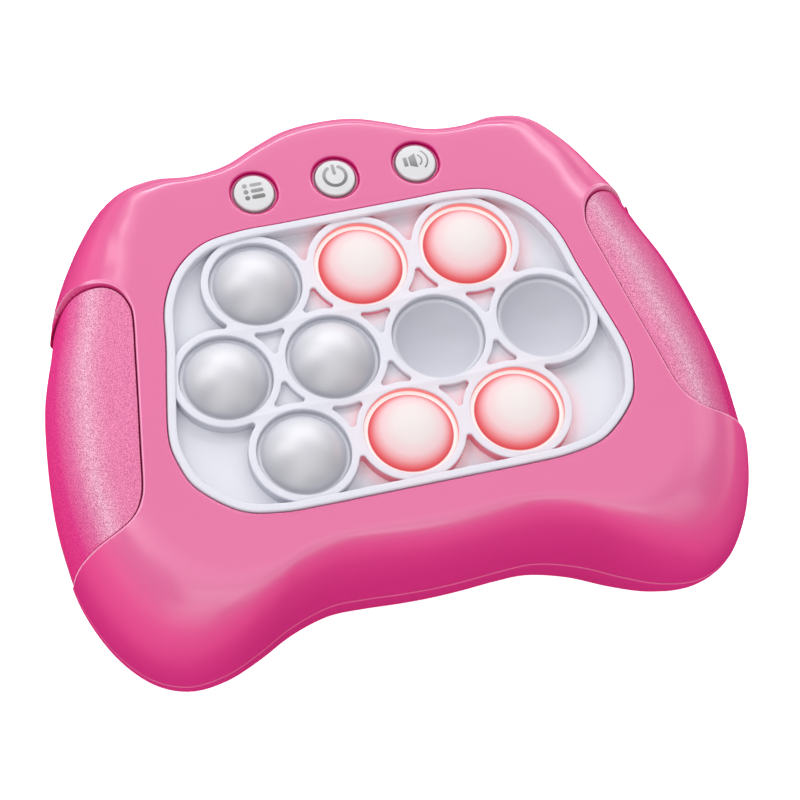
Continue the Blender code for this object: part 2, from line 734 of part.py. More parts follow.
# Battery cover, flush with the base, and its screw
cover = add_node("battery_cover", block(
    bay_length - 2 * running_gap, bay_width - 2 * running_gap, cover_recess, shell_wall), pink_shell)
cover_ear = add_cutter("cover_ear", shift(
    block(cover_ear_length + overrun - 2 * running_gap, cover_ear_width - 2 * running_gap,
          cover_recess, shell_wall), x=cover_boss_x - overrun / 2))
cover_hole = add_cutter("cover_hole", shift(
    rod(screw_shank_radius + running_gap, -overrun, shell_wall + overrun), x=cover_boss_x))
cover_sink = add_cutter("cover_sink", shift(
    rod(screw_head_radius + running_gap, -overrun, shell_wall / 2 + running_gap), x=cover_boss_x))
weld(cover, cover_ear)
carve(cover, cover_hole)
carve(cover, cover_sink)
cover_head_height = shell_wall / 2 - cover_recess
add_node("battery_cover_screw", turned(
    [(0, -cover_head_height), (screw_head_radius, -cover_head_height), (screw_head_radius, 0),
     (screw_shank_radius, 0), (screw_shank_radius, cover_screw_length),
     (0, cover_screw_length + screw_shank_radius)], small_segments), steel,
    (cover_boss_x, 0, shell_wall / 2))

# Batteries side by side, turned about in turn, between two contact plates
shoulder = battery_length - battery_nub_length
edge_round = battery_nub_length / 2
for number in range(battery_count):
    y = (number - (battery_count - 1) / 2) * battery_pitch
    cell = turned([(0, 0), (battery_radius - edge_round, 0), (battery_radius, edge_round),
                   (battery_radius, shoulder - edge_round), (battery_radius - edge_round, shoulder),
                   (battery_nub_radius, shoulder), (battery_nub_radius, battery_length),
                   (0, battery_length)], bubble_segments)
    shift(cell, z=-battery_length / 2)
    battery = add_node(f"battery_{number + 1}", cell, battery_finish, (0, y, battery_z))
    battery.rotation_euler = (0, math.radians(90 if number % 2 else -90), 0)

contact_x = bay_length / 2 - running_gap - contact_thickness / 2
spring_reach = contact_space - 2 * running_gap - contact_thickness / 2
for side, label in ((-1, "left"), (1, "right")):
    plate = add_node(label + "_battery_contact", block(
        contact_thickness, bay_width - 2 * running_gap, -contact_height / 2, contact_height / 2),
        steel, (side * contact_x, 0, battery_z))
    springs = []
    for number in range(battery_count):
        cone = turned([(0, 0), (contact_spring_radius, 0), (contact_spring_tip, spring_reach),
                       (0, spring_reach)], small_segments)
        bmesh.ops.rotate(cone, verts=cone.verts, matrix=Matrix.Rotation(-side * math.pi / 2, 3, "Y"))
        y = (number - (battery_count - 1) / 2) * battery_pitch
        springs.append(shift(cone, side * contact_x, y, battery_z))
    weld(plate, add_cutter(label + "_contact_springs", gather(springs)))

# Loudspeaker, face down over its sound holes
speaker_x = speaker_inset - window_half_width
speaker_y = field_y - window_half_height + speaker_rise
speaker_z = shell_wall + running_gap
cone_radius = speaker_radius - speaker_wall - running_gap
add_node("speaker_frame", turned([
    (0, speaker_height), (speaker_magnet_radius, speaker_height),
    (speaker_magnet_radius, speaker_rim_height + speaker_wall),
    (speaker_radius, speaker_rim_height), (speaker_radius, 0), (speaker_radius - speaker_wall, 0),
    (speaker_radius - speaker_wall, speaker_rim_height - speaker_wall),
    (0, speaker_rim_height - speaker_wall)], bubble_segments), black_part,
    (speaker_x, speaker_y, speaker_z))
cone_top = speaker_rim_height - speaker_wall - running_gap
cone_dome_radius = cone_radius * cone_dome_share
add_node("speaker_cone", turned([
    (0, cone_top), (cone_dome_radius, cone_top), (cone_radius, cone_top / 2), (cone_radius, 0),
    (cone_dome_radius, cone_top / 2), (0, cone_top / 2)], bubble_segments), carbon,
    (speaker_x, speaker_y, speaker_z))
hole_spots = [(0.0, 0.0)] + [
    (sound_hole_ring * math.cos(math.tau * i / sound_hole_count),
     sound_hole_ring * math.sin(math.tau * i / sound_hole_count)) for i in range(sound_hole_count)]
sound_holes = add_cutter("sound_holes", gather(
    [shift(rod(sound_hole_radius, -overrun, shell_wall + overrun, least_segments),
           speaker_x + x, speaker_y + y) for x, y in hole_spots]))
carve(rear_shell, sound_holes)

# All that is added to a piece goes on before anything is cut away
for target, tool in additions:
    combine(target, tool, "UNION")
for target, tool in cuts:
    combine(target, tool, "DIFFERENCE")
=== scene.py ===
# %% [markdown]
# # A handheld bubble pop game
# This lesson dresses the measured model of a pink handheld game in finished surfaces.
# The measured solids are loaded as a fixed frame: they say where every piece sits and how it moves.
# Each visible moulding is modelled again here with fine, rounded surfaces, and it rides on the
# body of the solid that it stands for.

# %% Load the frame
import json
import math

import bmesh
import bpy
import numpy as np
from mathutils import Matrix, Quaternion, Vector


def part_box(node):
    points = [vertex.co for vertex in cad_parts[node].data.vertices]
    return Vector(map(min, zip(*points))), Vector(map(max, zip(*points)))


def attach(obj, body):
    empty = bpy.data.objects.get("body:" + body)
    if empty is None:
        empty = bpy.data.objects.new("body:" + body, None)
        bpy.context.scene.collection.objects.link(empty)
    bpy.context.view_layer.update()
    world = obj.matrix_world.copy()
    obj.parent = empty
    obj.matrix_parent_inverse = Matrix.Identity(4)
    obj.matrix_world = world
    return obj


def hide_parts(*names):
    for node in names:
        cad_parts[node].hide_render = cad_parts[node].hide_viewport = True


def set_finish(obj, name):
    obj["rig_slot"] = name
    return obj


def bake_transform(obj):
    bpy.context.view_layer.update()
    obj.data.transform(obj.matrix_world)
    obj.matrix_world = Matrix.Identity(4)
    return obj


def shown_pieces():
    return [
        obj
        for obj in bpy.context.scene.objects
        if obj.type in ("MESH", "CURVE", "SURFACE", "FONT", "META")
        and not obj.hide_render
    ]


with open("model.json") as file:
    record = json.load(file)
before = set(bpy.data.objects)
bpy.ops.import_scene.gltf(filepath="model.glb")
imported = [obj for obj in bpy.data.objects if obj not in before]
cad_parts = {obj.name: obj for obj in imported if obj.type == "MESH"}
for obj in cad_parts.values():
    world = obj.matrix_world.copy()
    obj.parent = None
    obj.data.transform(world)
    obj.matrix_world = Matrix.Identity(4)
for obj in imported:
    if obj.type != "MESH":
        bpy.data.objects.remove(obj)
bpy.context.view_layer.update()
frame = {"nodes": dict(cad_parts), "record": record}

# %% [markdown]
# ## Sizes
# The real game is about 18 cm wide. Every size that a finished surface needs is either read off the
# frame's boxes or named here in millimetres, so that a curve and the part it fits share one value.
# Reading places from the frame is safer than typing them twice: a bubble stays in its ring.

# %% Units and places read off the frame
MM = 0.001


def middle(name):
    """Middle of a solid's box."""
    low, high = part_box(name)
    return (low + high) / 2


panel_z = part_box("front_shell")[1].z
front_seam_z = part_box("front_shell")[0].z
mat_low, mat_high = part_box("bubble_mat")
cap_top_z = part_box("power_button")[1].z
bubble_places = {n: middle(f"bubble_{n}") for n in range(1, 11)}
field_y = bubble_places[5].y
button_places = {label: middle(label + "_button") for label in ("menu", "power", "volume")}
bubble_pitch = (bubble_places[2] - bubble_places[1]).length
print(f"panel at {panel_z / MM:.1f} mm, bubbles {bubble_pitch / MM:.1f} mm apart")

# %% Sizes of the mouldings
body_half_width = 92.5 * MM
body_half_length = 72.1 * MM
window_half_width = 62.3 * MM
window_half_height = 41.50 * MM
shell_wall = 2.2 * MM
running_gap = 0.3 * MM
rear_seam_z = front_seam_z - running_gap
grip_sink = 0.8 * MM
grip_wall = 2.2 * MM
grip_lower_edge = 5.0 * MM
overrun = 2.0 * MM
skin_points = 320
skin_levels = 14
merge_distance = 0.001 * MM
sharp_angle = math.radians(32)

# %% [markdown]
# ## The outline
# Seen from above, the game is a soft butterfly shape with a window in the middle.
# It could be traced with a long row of vertices, but a short table of shares of the half width and
# half length with a smooth curve through them is easier to read and to change.
# The shell's skin then runs outwards from the window in every direction: flat panel, rounded
# shoulder, side wall down to the seam, and a curved back to the flat base.

# %% Outline tables, from the top centre down the right side
body_outline_shares = (
    (0.0, 1.0), (0.109, 0.988), (0.206, 0.942), (0.305, 0.887), (0.418, 0.870), (0.547, 0.903),
    (0.667, 0.867), (0.763, 0.742), (0.844, 0.577), (0.897, 0.393), (0.948, 0.212), (0.981, 0.0),
    (1.0, -0.21), (1.0, -0.40), (0.985, -0.60), (0.931, -0.797), (0.850, -0.936), (0.751, -0.997),
    (0.642, -0.984), (0.536, -0.928), (0.425, -0.853), (0.306, -0.805), (0.20, -0.804),
    (0.10, -0.813), (0.0, -0.817))
window_outline_shares = (
    (0.0, 1.0), (0.30, 1.0), (0.47, 1.0), (0.64, 0.955), (0.78, 0.80), (0.868, 0.565),
    (0.907, 0.285), (0.952, 0.0), (0.998, -0.33), (0.99, -0.52), (0.94, -0.72), (0.79, -0.925),
    (0.62, -0.99), (0.45, -1.0), (0.25, -1.0), (0.0, -1.0))
grip_outline_shares = (
    (1.0, 0.420), (0.93, 0.430), (0.888, 0.452), (0.858, 0.480), (0.815, 0.500), (0.770, 0.488),
    (0.727, 0.462), (0.694, 0.420), (0.676, 0.365), (0.674, 0.305), (0.697, 0.145),
    (0.723, -0.030), (0.750, -0.205), (0.774, -0.362), (0.793, -0.427), (0.819, -0.472),
    (0.856, -0.501), (0.905, -0.516), (0.96, -0.522))

# %% Where the flat panel ends and how square the shoulder is, by direction
panel_edge_shares = (
    (90, 0.83), (75, 0.82), (60, 0.79), (50, 0.68), (40, 0.47), (30, 0.34), (15, 0.26), (0, 0.24),
    (-15, 0.30), (-25, 0.40), (-35, 0.45), (-45, 0.45), (-55, 0.48), (-65, 0.52), (-90, 0.52))
shoulder_power_shares = ((90, 3.0), (60, 3.0), (45, 2.5), (30, 2.1), (-30, 2.1), (-60, 2.2), (-90, 2.6))
base_edge_share = 0.82
base_power_share = 1.7


# %% Curves through the tables
def smooth_curve(points, steps, closed=True):
    """Smooth curve through a row of points."""
    points = [np.array(p, float) for p in points]
    count = len(points)
    if not closed:
        points = [2 * points[0] - points[1]] + points + [2 * points[-1] - points[-2]]
    curve = []
    for i in range(count if closed else count - 1):
        a, b, c, d = (points[(i + k - (1 if closed else 0)) % len(points)] for k in range(4))
        for t in np.arange(steps) / steps:
            curve.append((2 * b + (c - a) * t + (2 * a - 5 * b + 4 * c - d) * t ** 2
                          + (3 * b - a - 3 * c + d) * t ** 3) / 2)
    if not closed:
        curve.append(points[-2])
    return np.array(curve)


# %% Directions and lengths along a curve
def unit(rows):
    """Rows scaled to length 1."""
    return rows / np.linalg.norm(rows, axis=-1, keepdims=True)


def left_of(along):
    """Directions turned a quarter to the left, seen from above."""
    return np.stack([-along[:, 1], along[:, 0]], axis=1)


def travelled(points):
    """Length travelled along a row of points, up to each."""
    return np.concatenate([[0], np.cumsum(np.linalg.norm(np.diff(points, axis=0), axis=1))])


def at_marks(rows, way, marks):
    """Rows read off between others, at marks along the way travelled."""
    return np.stack([np.interp(marks, way, column) for column in rows.T], axis=1)


def whole_outline(half_shares, half_width, half_length):
    """Closed outline from half of it, mirrored; it runs clockwise."""
    half = [(x * half_width, y * half_length) for x, y in half_shares]
    return smooth_curve(half + [(-x, y) for x, y in reversed(half[1:-1])], 8)


def offset_outline(outline, distance):
    """Outline moved outwards by a distance along its own normals."""
    along = unit(np.roll(outline, -1, axis=0) - np.roll(outline, 1, axis=0))
    return outline + distance * left_of(along)


body_outline = whole_outline(body_outline_shares, body_half_width, body_half_length) - [0, field_y]
window_outline = whole_outline(window_outline_shares, window_half_width, window_half_height)
print(f"body outline of {len(body_outline)} points, window outline of {len(window_outline)}")


# %% Reach of an outline in one direction from the middle of the bubble field
def reach(outline, angle):
    direction = np.array([math.cos(angle), math.sin(angle)])
    edge = np.roll(outline, -1, axis=0) - outline
    cross = direction[1] * edge[:, 0] - direction[0] * edge[:, 1]
    cross = np.where(np.abs(cross) < 1e-15, 1e-15, cross)
    distance = (outline[:, 1] * edge[:, 0] - outline[:, 0] * edge[:, 1]) / cross
    along = (direction[0] * outline[:, 1] - direction[1] * outline[:, 0]) / cross
    hit = (along > -1e-6) & (along < 1 + 1e-6) & (distance > 0)
    return distance[hit].max()


def by_direction(table, angle):
    """Value of a table for one direction, the same left and right, eased between its rows."""
    degrees = math.degrees(math.asin(math.sin(angle)))
    for (high, first), (low, second) in zip(table, table[1:]):
        if degrees >= low - 1e-6:
            t = (high - degrees) / (high - low)
            return first + (second - first) * t * t * (3 - 2 * t)
    return table[-1][1]


def even_directions(outline, count):
    """Directions of points evenly spaced along an outline."""
    ring = np.vstack([outline, outline[:1]])
    way = travelled(ring)
    marks = (np.arange(count) + 0.5) * way[-1] / count
    return [math.atan2(y, x) for x, y in at_marks(ring, way, marks)]


def section(angle, upper):
    """Where the level part of the skin ends in a direction, and the power of its rounding."""
    window, body = reach(window_outline, angle), reach(body_outline, angle)
    flat = by_direction(panel_edge_shares, angle) if upper else base_edge_share
    power = by_direction(shoulder_power_shares, angle) if upper else base_power_share
    return window + (body - window) * flat, power


directions = even_directions(body_outline, skin_points)
sections = {upper: [section(angle, upper) for angle in directions] for upper in (True, False)}
print(f"{len(directions)} directions round the skin")


# %% Loops of the skin
def at_direction(angle, distance, height):
    return Vector((distance * math.cos(angle), distance * math.sin(angle) + field_y, height))


def skin_loop(stage, inset, seam_z):
    """Loop on the skin: stage 0 is the panel's edge, 1 the seam and 2 the base; inset goes inwards."""
    side_outline = offset_outline(body_outline, -inset)
    upper = stage <= 1
    start_z = panel_z - inset if upper else inset
    turn = (stage if upper else 2 - stage) * math.pi / 2
    loop = []
    for angle, (edge, power) in zip(directions, sections[upper]):
        distance = edge + (reach(side_outline, angle) - edge) * math.sin(turn) ** (2 / power)
        height = start_z + (seam_z - start_z) * (1 - max(0.0, math.cos(turn)) ** (2 / power))
        loop.append(at_direction(angle, distance, height))
    return loop


def window_loop(extra, height):
    """Loop parallel to the window, a little outside or inside it."""
    outline = offset_outline(window_outline, extra)
    return [at_direction(angle, reach(outline, angle), height) for angle in directions]


def at_height(loop, height):
    """Loop laid flat at a height."""
    return [Vector((p.x, p.y, height)) for p in loop]


def between(first, second, share):
    """Loop part of the way from one loop to another."""
    return [a.lerp(b, share) for a, b in zip(first, second)]


# %% [markdown]
# ## Making pieces
# Every moulding here grows from a circle of vertices that is moved onto its first loop and extruded
# from loop to loop, as a potter pulls up a wall. Round pieces are a profile spun about an axis.
# Flat shapes with holes are filled curves turned into a mesh.
# One helper closes the work: it merges doubles, turns the faces outwards, smooths the shading and
# tells the frame which body the piece rides on.

# %% Loft, spin and blocks
def loft(loops):
    """Skin through a row of loops with as many points each; the last may repeat the first."""
    mesh = bmesh.new()
    bmesh.ops.create_circle(mesh, segments=len(loops[0]), radius=MM)
    ring = list(mesh.verts)
    edges = list(mesh.edges)
    for vert, point in zip(ring, loops[0]):
        vert.co = point
    for loop in loops[1:]:
        order = {vert.co.to_tuple(): i for i, vert in enumerate(ring)}
        made = bmesh.ops.extrude_edge_only(mesh, edges=edges)["geom"]
        ring = [g for g in made if isinstance(g, bmesh.types.BMVert)]
        edges = [g for g in made if isinstance(g, bmesh.types.BMEdge) and g.is_boundary]
        ring.sort(key=lambda vert: order[vert.co.to_tuple()])
        for vert, point in zip(ring, loop):
            vert.co = point
    return mesh


def cap_ends(mesh):
    """Close the open ends of a loft."""
    bmesh.ops.holes_fill(mesh, edges=[e for e in mesh.edges if e.is_boundary], sides=0)
    return mesh


def spun(profile, segments=72, place=Vector((0, 0))):
    """Solid turned about an upright axis from a profile of radius and height."""
    mesh = bmesh.new()
    verts = [mesh.verts.new((radius, 0.0, height)) for radius, height in profile]
    edges = [mesh.edges.new(pair) for pair in zip(verts, verts[1:])]
    bmesh.ops.spin(mesh, geom=verts + edges, axis=(0, 0, 1), cent=(0, 0, 0),
                   angle=math.tau, steps=segments, use_merge=True)
    bmesh.ops.remove_doubles(mesh, verts=mesh.verts, dist=merge_distance)
    return moved(mesh, place.x, place.y)


def moved(mesh, x=0.0, y=0.0, z=0.0):
    bmesh.ops.translate(mesh, verts=mesh.verts, vec=(x, y, z))
    return mesh


def well(radius, place, low, high, segments=48):
    """Round block over a place."""
    return spun([(0, low), (radius, low), (radius, high), (0, high)], segments, place)


def block_over(points, low, high):
    """Upright block over an outline."""
    return cap_ends(loft([[Vector((x, y, z)) for x, y in points] for z in (low, high)]))


def block(low, high):
    """Straight block between two corners."""
    corners = [(low[0], low[1]), (high[0], low[1]), (high[0], high[1]), (low[0], high[1])]
    return block_over(corners, low[2], high[2])


# %% Flat shapes and joined meshes
def linked(name, data):
    """Object with its data, put in the scene."""
    made = bpy.data.objects.new(name, data)
    bpy.context.collection.objects.link(made)
    return made


def shown_mesh(made):
    """Mesh data of what an object shows with its modifiers."""
    bpy.context.view_layer.update()
    return bpy.data.meshes.new_from_object(made.evaluated_get(bpy.context.evaluated_depsgraph_get()))


def as_data(name, mesh):
    """Mesh data made of a working mesh, which is freed."""
    data = bpy.data.meshes.new(name)
    mesh.to_mesh(data)
    mesh.free()
    return data


def flat_shape(outlines, low, high, rounding=0.0):
    """Filled flat shape with holes, given a height and a rounded edge."""
    curve = bpy.data.curves.new("flat_shape", "CURVE")
    curve.dimensions = "2D"
    curve.fill_mode = "BOTH"
    curve.extrude = (high - low) / 2 - rounding
    curve.bevel_depth = rounding
    curve.bevel_resolution = 2
    curve.offset = -rounding
    for outline in outlines:
        spline = curve.splines.new("POLY")
        spline.points.add(len(outline) - 1)
        for point, (x, y) in zip(spline.points, outline):
            point.co = (x, y, 0, 1)
        spline.use_cyclic_u = True
    holder = linked("flat_shape", curve)
    mesh = bmesh.new()
    mesh.from_mesh(shown_mesh(holder))
    bpy.data.objects.remove(holder)
    moved(mesh, z=(low + high) / 2)
    bmesh.ops.remove_doubles(mesh, verts=mesh.verts, dist=merge_distance)
    return mesh


def joined(meshes):
    """Several meshes as one, each with its faces turned outwards."""
    whole = bmesh.new()
    for mesh in meshes:
        bmesh.ops.recalc_face_normals(mesh, faces=mesh.faces)
        data = as_data("joined", mesh)
        whole.from_mesh(data)
        bpy.data.meshes.remove(data)
    return whole


# %% Finish a piece
def smooth(data):
    """Smooth shading, with real edges kept sharp."""
    data.shade_smooth()
    data.set_sharp_from_angle(angle=sharp_angle)


def make_object(name, mesh):
    bmesh.ops.remove_doubles(mesh, verts=mesh.verts, dist=2 * merge_distance)
    bmesh.ops.recalc_face_normals(mesh, faces=mesh.faces)
    return linked(name, as_data(name, mesh))


def make_piece(name, mesh, body, slot, stands_for=()):
    """Piece that rides on a body and stands for its measured solids."""
    made = make_object(name, mesh)
    smooth(made.data)
    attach(made, body)
    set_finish(made, slot)
    if stands_for:
        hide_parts(*stands_for)
    print(f"{name}: {len(made.data.polygons)} faces")
    return made


def cut(made, meshes, operation="DIFFERENCE"):
    """Cut a piece with helper meshes, or keep only what lies inside them, and drop the helpers."""
    for mesh in meshes:
        tool = make_object("cutting_tool", mesh)
        step = made.modifiers.new("cut", "BOOLEAN")
        step.operation = operation
        step.object = tool
        step.solver = "EXACT"
        shown = shown_mesh(made)
        made.modifiers.clear()
        made.data = shown
        bpy.data.objects.remove(tool)


def add_meshes(made, meshes):
    """Add finished meshes to a piece and smooth it again."""
    whole = joined(meshes)
    whole.from_mesh(made.data)
    whole.to_mesh(made.data)
    whole.free()
    smooth(made.data)
    print(f"{made.name}: {len(made.data.polygons)} faces with its rims")


# %% [markdown]
# ## Front shell
# The front shell is one injection moulding in pink ABS: a flat panel, a rounded shoulder and a side
# wall that runs down to the seam. It could be a subdivided cage, but loops at real heights follow the
# measured skin exactly. The window's edge and the seam's edge get their small radii in the loops;
# the grip openings and the three button holes are cut through, and their edges rounded afterwards.

# %% Front shell skin
window_edge_round = 0.35 * MM
seam_round = 0.35 * MM
panel_shares = (0.08, 0.3, 0.6, 0.9)
under_panel_share = 0.4
inner_levels = 5


def quarter(steps):
    """Sine and one minus cosine of a quarter turn, in steps."""
    turns = [math.pi / 2 * i / steps for i in range(steps + 1)]
    return [(math.sin(turn), 1 - math.cos(turn)) for turn in turns]


def seam_to_skin(seam_z, way, stages):
    """Loops from a shell's inner wall round the seam's edge and on along the skin, up or down."""
    loops = [skin_loop(1, shell_wall, seam_z), skin_loop(1, seam_round, seam_z)]
    loops += [at_height(between(loops[1], skin_loop(1, 0, seam_z), out), seam_z + way * seam_round * drop)
              for out, drop in quarter(3)[1:]]
    edge_z = seam_z + way * seam_round
    for stage in stages:
        loops.append([Vector((p.x, p.y, max(p.z, edge_z) if way > 0 else min(p.z, edge_z)))
                      for p in skin_loop(stage, 0, seam_z)])
    return loops


panel_loop = skin_loop(0, 0, front_seam_z)
window_edge = window_loop(0, panel_z)
front_loops = seam_to_skin(front_seam_z, 1, [1 - step / skin_levels for step in range(1, skin_levels + 1)])
front_loops += [at_height(between(panel_loop, window_edge, share), panel_z) for share in panel_shares]
front_loops += [window_loop(window_edge_round * (1 - out), panel_z - window_edge_round * drop)
                for out, drop in quarter(3)]
under_panel = between(skin_loop(0, shell_wall, front_seam_z), window_edge, under_panel_share)
front_loops += [at_height(loop, panel_z - shell_wall) for loop in (window_edge, under_panel)]
front_loops += [skin_loop(step / inner_levels, shell_wall, front_seam_z) for step in range(inner_levels + 1)]
front_shell = make_piece("front_shell_moulding", loft(front_loops), "root", "pink_shell", ["front_shell"])


# %% Outline of a grip
def grip_boundary(side, shrink):
    """Outline of a side grip seen from above, closed well outside the body."""
    raw = smooth_curve([(x * body_half_width, y * body_half_length) for x, y in grip_outline_shares],
                       4, closed=False)
    raw = raw + shrink * left_of(unit(np.gradient(raw, axis=0)))
    outer = body_half_width + 6 * overrun
    points = [(outer, raw[0][1])] + [tuple(p) for p in raw] + [(outer, raw[-1][1])]
    return [(side * x, y) for x, y in points]


def grip_block(side, gap=0.0):
    """Block through a grip opening, or a gap inside it."""
    return block_over(grip_boundary(side, gap), grip_lower_edge + gap, panel_z + overrun)


# %% [markdown]
# ### Rolled rims
# A cut edge on a real moulding is never sharp. Bevelling the cut would follow every small face that
# the cut leaves, so each rim is made apart: a narrow rabbet is cut along the edge, and a round bead
# is laid in it that touches both the skin and the wall of the opening. Its path is the grip's
# outline laid on the skin, and the bead's centre is one radius away from skin and wall alike.

# %% The path of a rim on the skin
def share_across(x, y, side_outline):
    """How far a place lies from the panel's edge towards the side of the shell."""
    angle = math.atan2(y - field_y, x)
    edge, _ = section(angle, True)
    return (math.hypot(x, y - field_y) - edge) / (reach(side_outline, angle) - edge)


def on_skin(x, y, side_outline, top_z, seam_z):
    """Point on the front skin over a place, with the skin's normal, or None outside it."""
    share = share_across(x, y, side_outline)
    if share >= 1:
        return None
    if share <= 0:
        return (x, y, top_z), (0, 0, 1)
    power = by_direction(shoulder_power_shares, math.atan2(y - field_y, x))
    rise = (1 - share ** power) ** (1 / power)
    step = 0.01 * MM
    slope_x = (share_across(x + step, y, side_outline) - share) / step
    slope_y = (share_across(x, y + step, side_outline) - share) / step
    slope = share ** (power - 1)
    normal = Vector((slope * slope_x, slope * slope_y, rise ** (power - 1) / (top_z - seam_z)))
    return (x, y, seam_z + (top_z - seam_z) * rise), tuple(normal.normalized())


# %% Rows along a rim
def rim_rows(shrink, inset, seam_z, outward):
    """Rim of the right grip or its opening on the front skin: point, skin normal, wall normal."""
    plan = np.array(grip_boundary(1, shrink))
    way = travelled(plan)
    plan = at_marks(plan, way, np.arange(0, way[-1], plan_spacing))
    side_outline = offset_outline(body_outline, -inset)
    rows = []
    for (x, y), (run_x, run_y) in zip(plan, unit(np.gradient(plan, axis=0))):
        spot = on_skin(x, y, side_outline, panel_z - inset, seam_z)
        if spot:
            rows.append((*spot, (-outward * run_y, outward * run_x, 0)))
    ends = [((end[0][0], end[0][1], seam_z), end[1], end[2]) for end in (rows[0], rows[-1])]
    rows = np.array([ends[0]] + rows + [ends[1]]).reshape(-1, 9)
    way = travelled(rows[:, :3])
    marks = np.linspace(0, way[-1], int(way[-1] / rim_spacing))
    rows = at_marks(rows, way, marks).reshape(-1, 3, 3)
    rows[:, 1:] = unit(rows[:, 1:])
    return rows


plan_spacing = 0.08 * MM
rim_spacing = 0.5 * MM
thin_rim = 0.45 * MM
thick_rim = 1.3 * MM
opening_rim = rim_rows(0, 0, front_seam_z, 1)
print(f"rim of {len(opening_rim)} rows round a grip opening")


# %% Beads and rabbets along a rim
def bead_centres(rows, radii):
    points, skin, wall = rows[:, 0], rows[:, 1], rows[:, 2]
    meet = 1 + np.sum(skin * wall, axis=1)
    return points - (radii / meet)[:, None] * (skin + wall)


def bead(rows, radii, side, segments=28):
    """Round bead along a rim, mirrored for the left side."""
    centres = bead_centres(rows, radii)
    along = np.gradient(centres, axis=0)
    across = unit(np.cross(along, rows[:, 1]))
    up = unit(np.cross(across, along))
    turns = np.arange(segments) * math.tau / segments
    return cap_ends(loft([[Vector((c + r * (math.cos(t) * u + math.sin(t) * a)) * (side, 1, 1))
                           for t in turns] for c, u, a, r in zip(centres, up, across, radii)]))


def rabbet(rows, radii, side):
    """Block along a rim that clears the corner for the bead, run on past both ends."""
    rows = np.concatenate([rows[:1], rows, rows[-1:]])
    radii = np.concatenate([radii[:1], radii, radii[-1:]])
    rows[[0, -1], 0, 2] -= overrun
    centres = bead_centres(rows, radii)
    loops = []
    for centre, (_, skin, wall), radius in zip(centres, rows, radii):
        corners = [centre + 3 * radius * way for way in (0 * skin, skin, skin + wall, wall)]
        loops.append([Vector(corner * (side, 1, 1)) for corner in corners])
    return cap_ends(loft(loops))


# %% Grip openings in the front shell
def eased(value, low, high):
    """Share of the way from low to high, eased at both ends."""
    share = np.clip((value - low) / (high - low), 0, 1)
    return share * share * (3 - 2 * share)


thick_from_y = 25 * MM
thick_to_y = 33 * MM
thick_share = eased(opening_rim[:, 0, 1], thick_from_y, thick_to_y)
opening_radii = thin_rim + (thick_rim - thin_rim) * thick_share
cut(front_shell, [grip_block(side) for side in (-1, 1)])
cut(front_shell, [rabbet(opening_rim, opening_radii, side) for side in (-1, 1)])

# %% Button holes with rolled collars
hole_radius = 6.2 * MM
collar_round = 0.9 * MM
collar_wall = 0.5 * MM
collar_radius = hole_radius + collar_round + collar_wall
collar_low = panel_z - shell_wall
collar_ledge_z = panel_z - 1.3 * MM
cap_radius = 5.4 * MM
ledge_radius = cap_radius + running_gap
cut(front_shell, [well(collar_radius, place, panel_z - 2 * overrun, panel_z + overrun, 72)
                  for place in button_places.values()])
collar_profile = [(collar_radius, collar_low), (collar_radius, panel_z)]
collar_profile += [(hole_radius + collar_round * (1 - out), panel_z - collar_round * drop)
                   for out, drop in quarter(6)]
collar_profile += [(hole_radius, collar_ledge_z), (ledge_radius, collar_ledge_z),
                   (ledge_radius, collar_low), (collar_radius, collar_low)]
opening_beads = [bead(opening_rim, opening_radii, side) for side in (-1, 1)]
collars = [spun(collar_profile, place=place) for place in button_places.values()]
for slot_number, meshes in ((1, opening_beads), (2, collars)):
    for face in (face for mesh in meshes for face in mesh.faces):
        face.material_index = slot_number
add_meshes(front_shell, opening_beads + collars)

# %% [markdown]
# ## Rear shell
# The rear shell is the shallow tray under the seam. Only a band of it shows from the front, but it
# carries the screw wells, the battery bay and the holes over the loudspeaker on its flat base.
# It could be a solid hollowed by a modifier, but lofting its inner and outer skin in one go keeps the
# wall even and the seam's edge round. The wells, the bay and the holes are cut through afterwards.

# %% Places on the base, read off the frame
screw_places = [middle(f"case_screw_{n}") for n in range(1, 6)]
screw_low, screw_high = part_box("case_screw_1")
screw_well_radius = (screw_high.x - screw_low.x) / 2 + running_gap
cover_low, cover_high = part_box("battery_cover")
cover_screw_place = middle("battery_cover_screw")
speaker_place = middle("speaker_frame")
contact_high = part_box("right_battery_contact")[1]
bay_half_x = contact_high.x + running_gap
bay_half_y = contact_high.y + running_gap
bay_ceiling_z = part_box("battery_1")[1].z + running_gap
ear_half_width = 5.0 * MM
bay_wall = 1.2 * MM
print(f"battery bay {2 * bay_half_x / MM:.1f} by {2 * bay_half_y / MM:.1f} mm")

# %% Rear shell skin
base_levels = 8
base_ring_share = 0.05
rear_loops = seam_to_skin(rear_seam_z, -1, [1 + step / base_levels for step in range(1, base_levels + 1)])
rear_loops.append(between(rear_loops[-1], [Vector((0, field_y, 0))] * skin_points, base_ring_share))
inner_loops = [skin_loop(1 + step / inner_levels, shell_wall, rear_seam_z)
               for step in range(inner_levels + 1)]
rear_mesh = cap_ends(loft(inner_loops[::-1] + rear_loops))
rear_shell = make_piece("rear_shell_moulding", rear_mesh, "root", "pink_shell", ["rear_shell"])

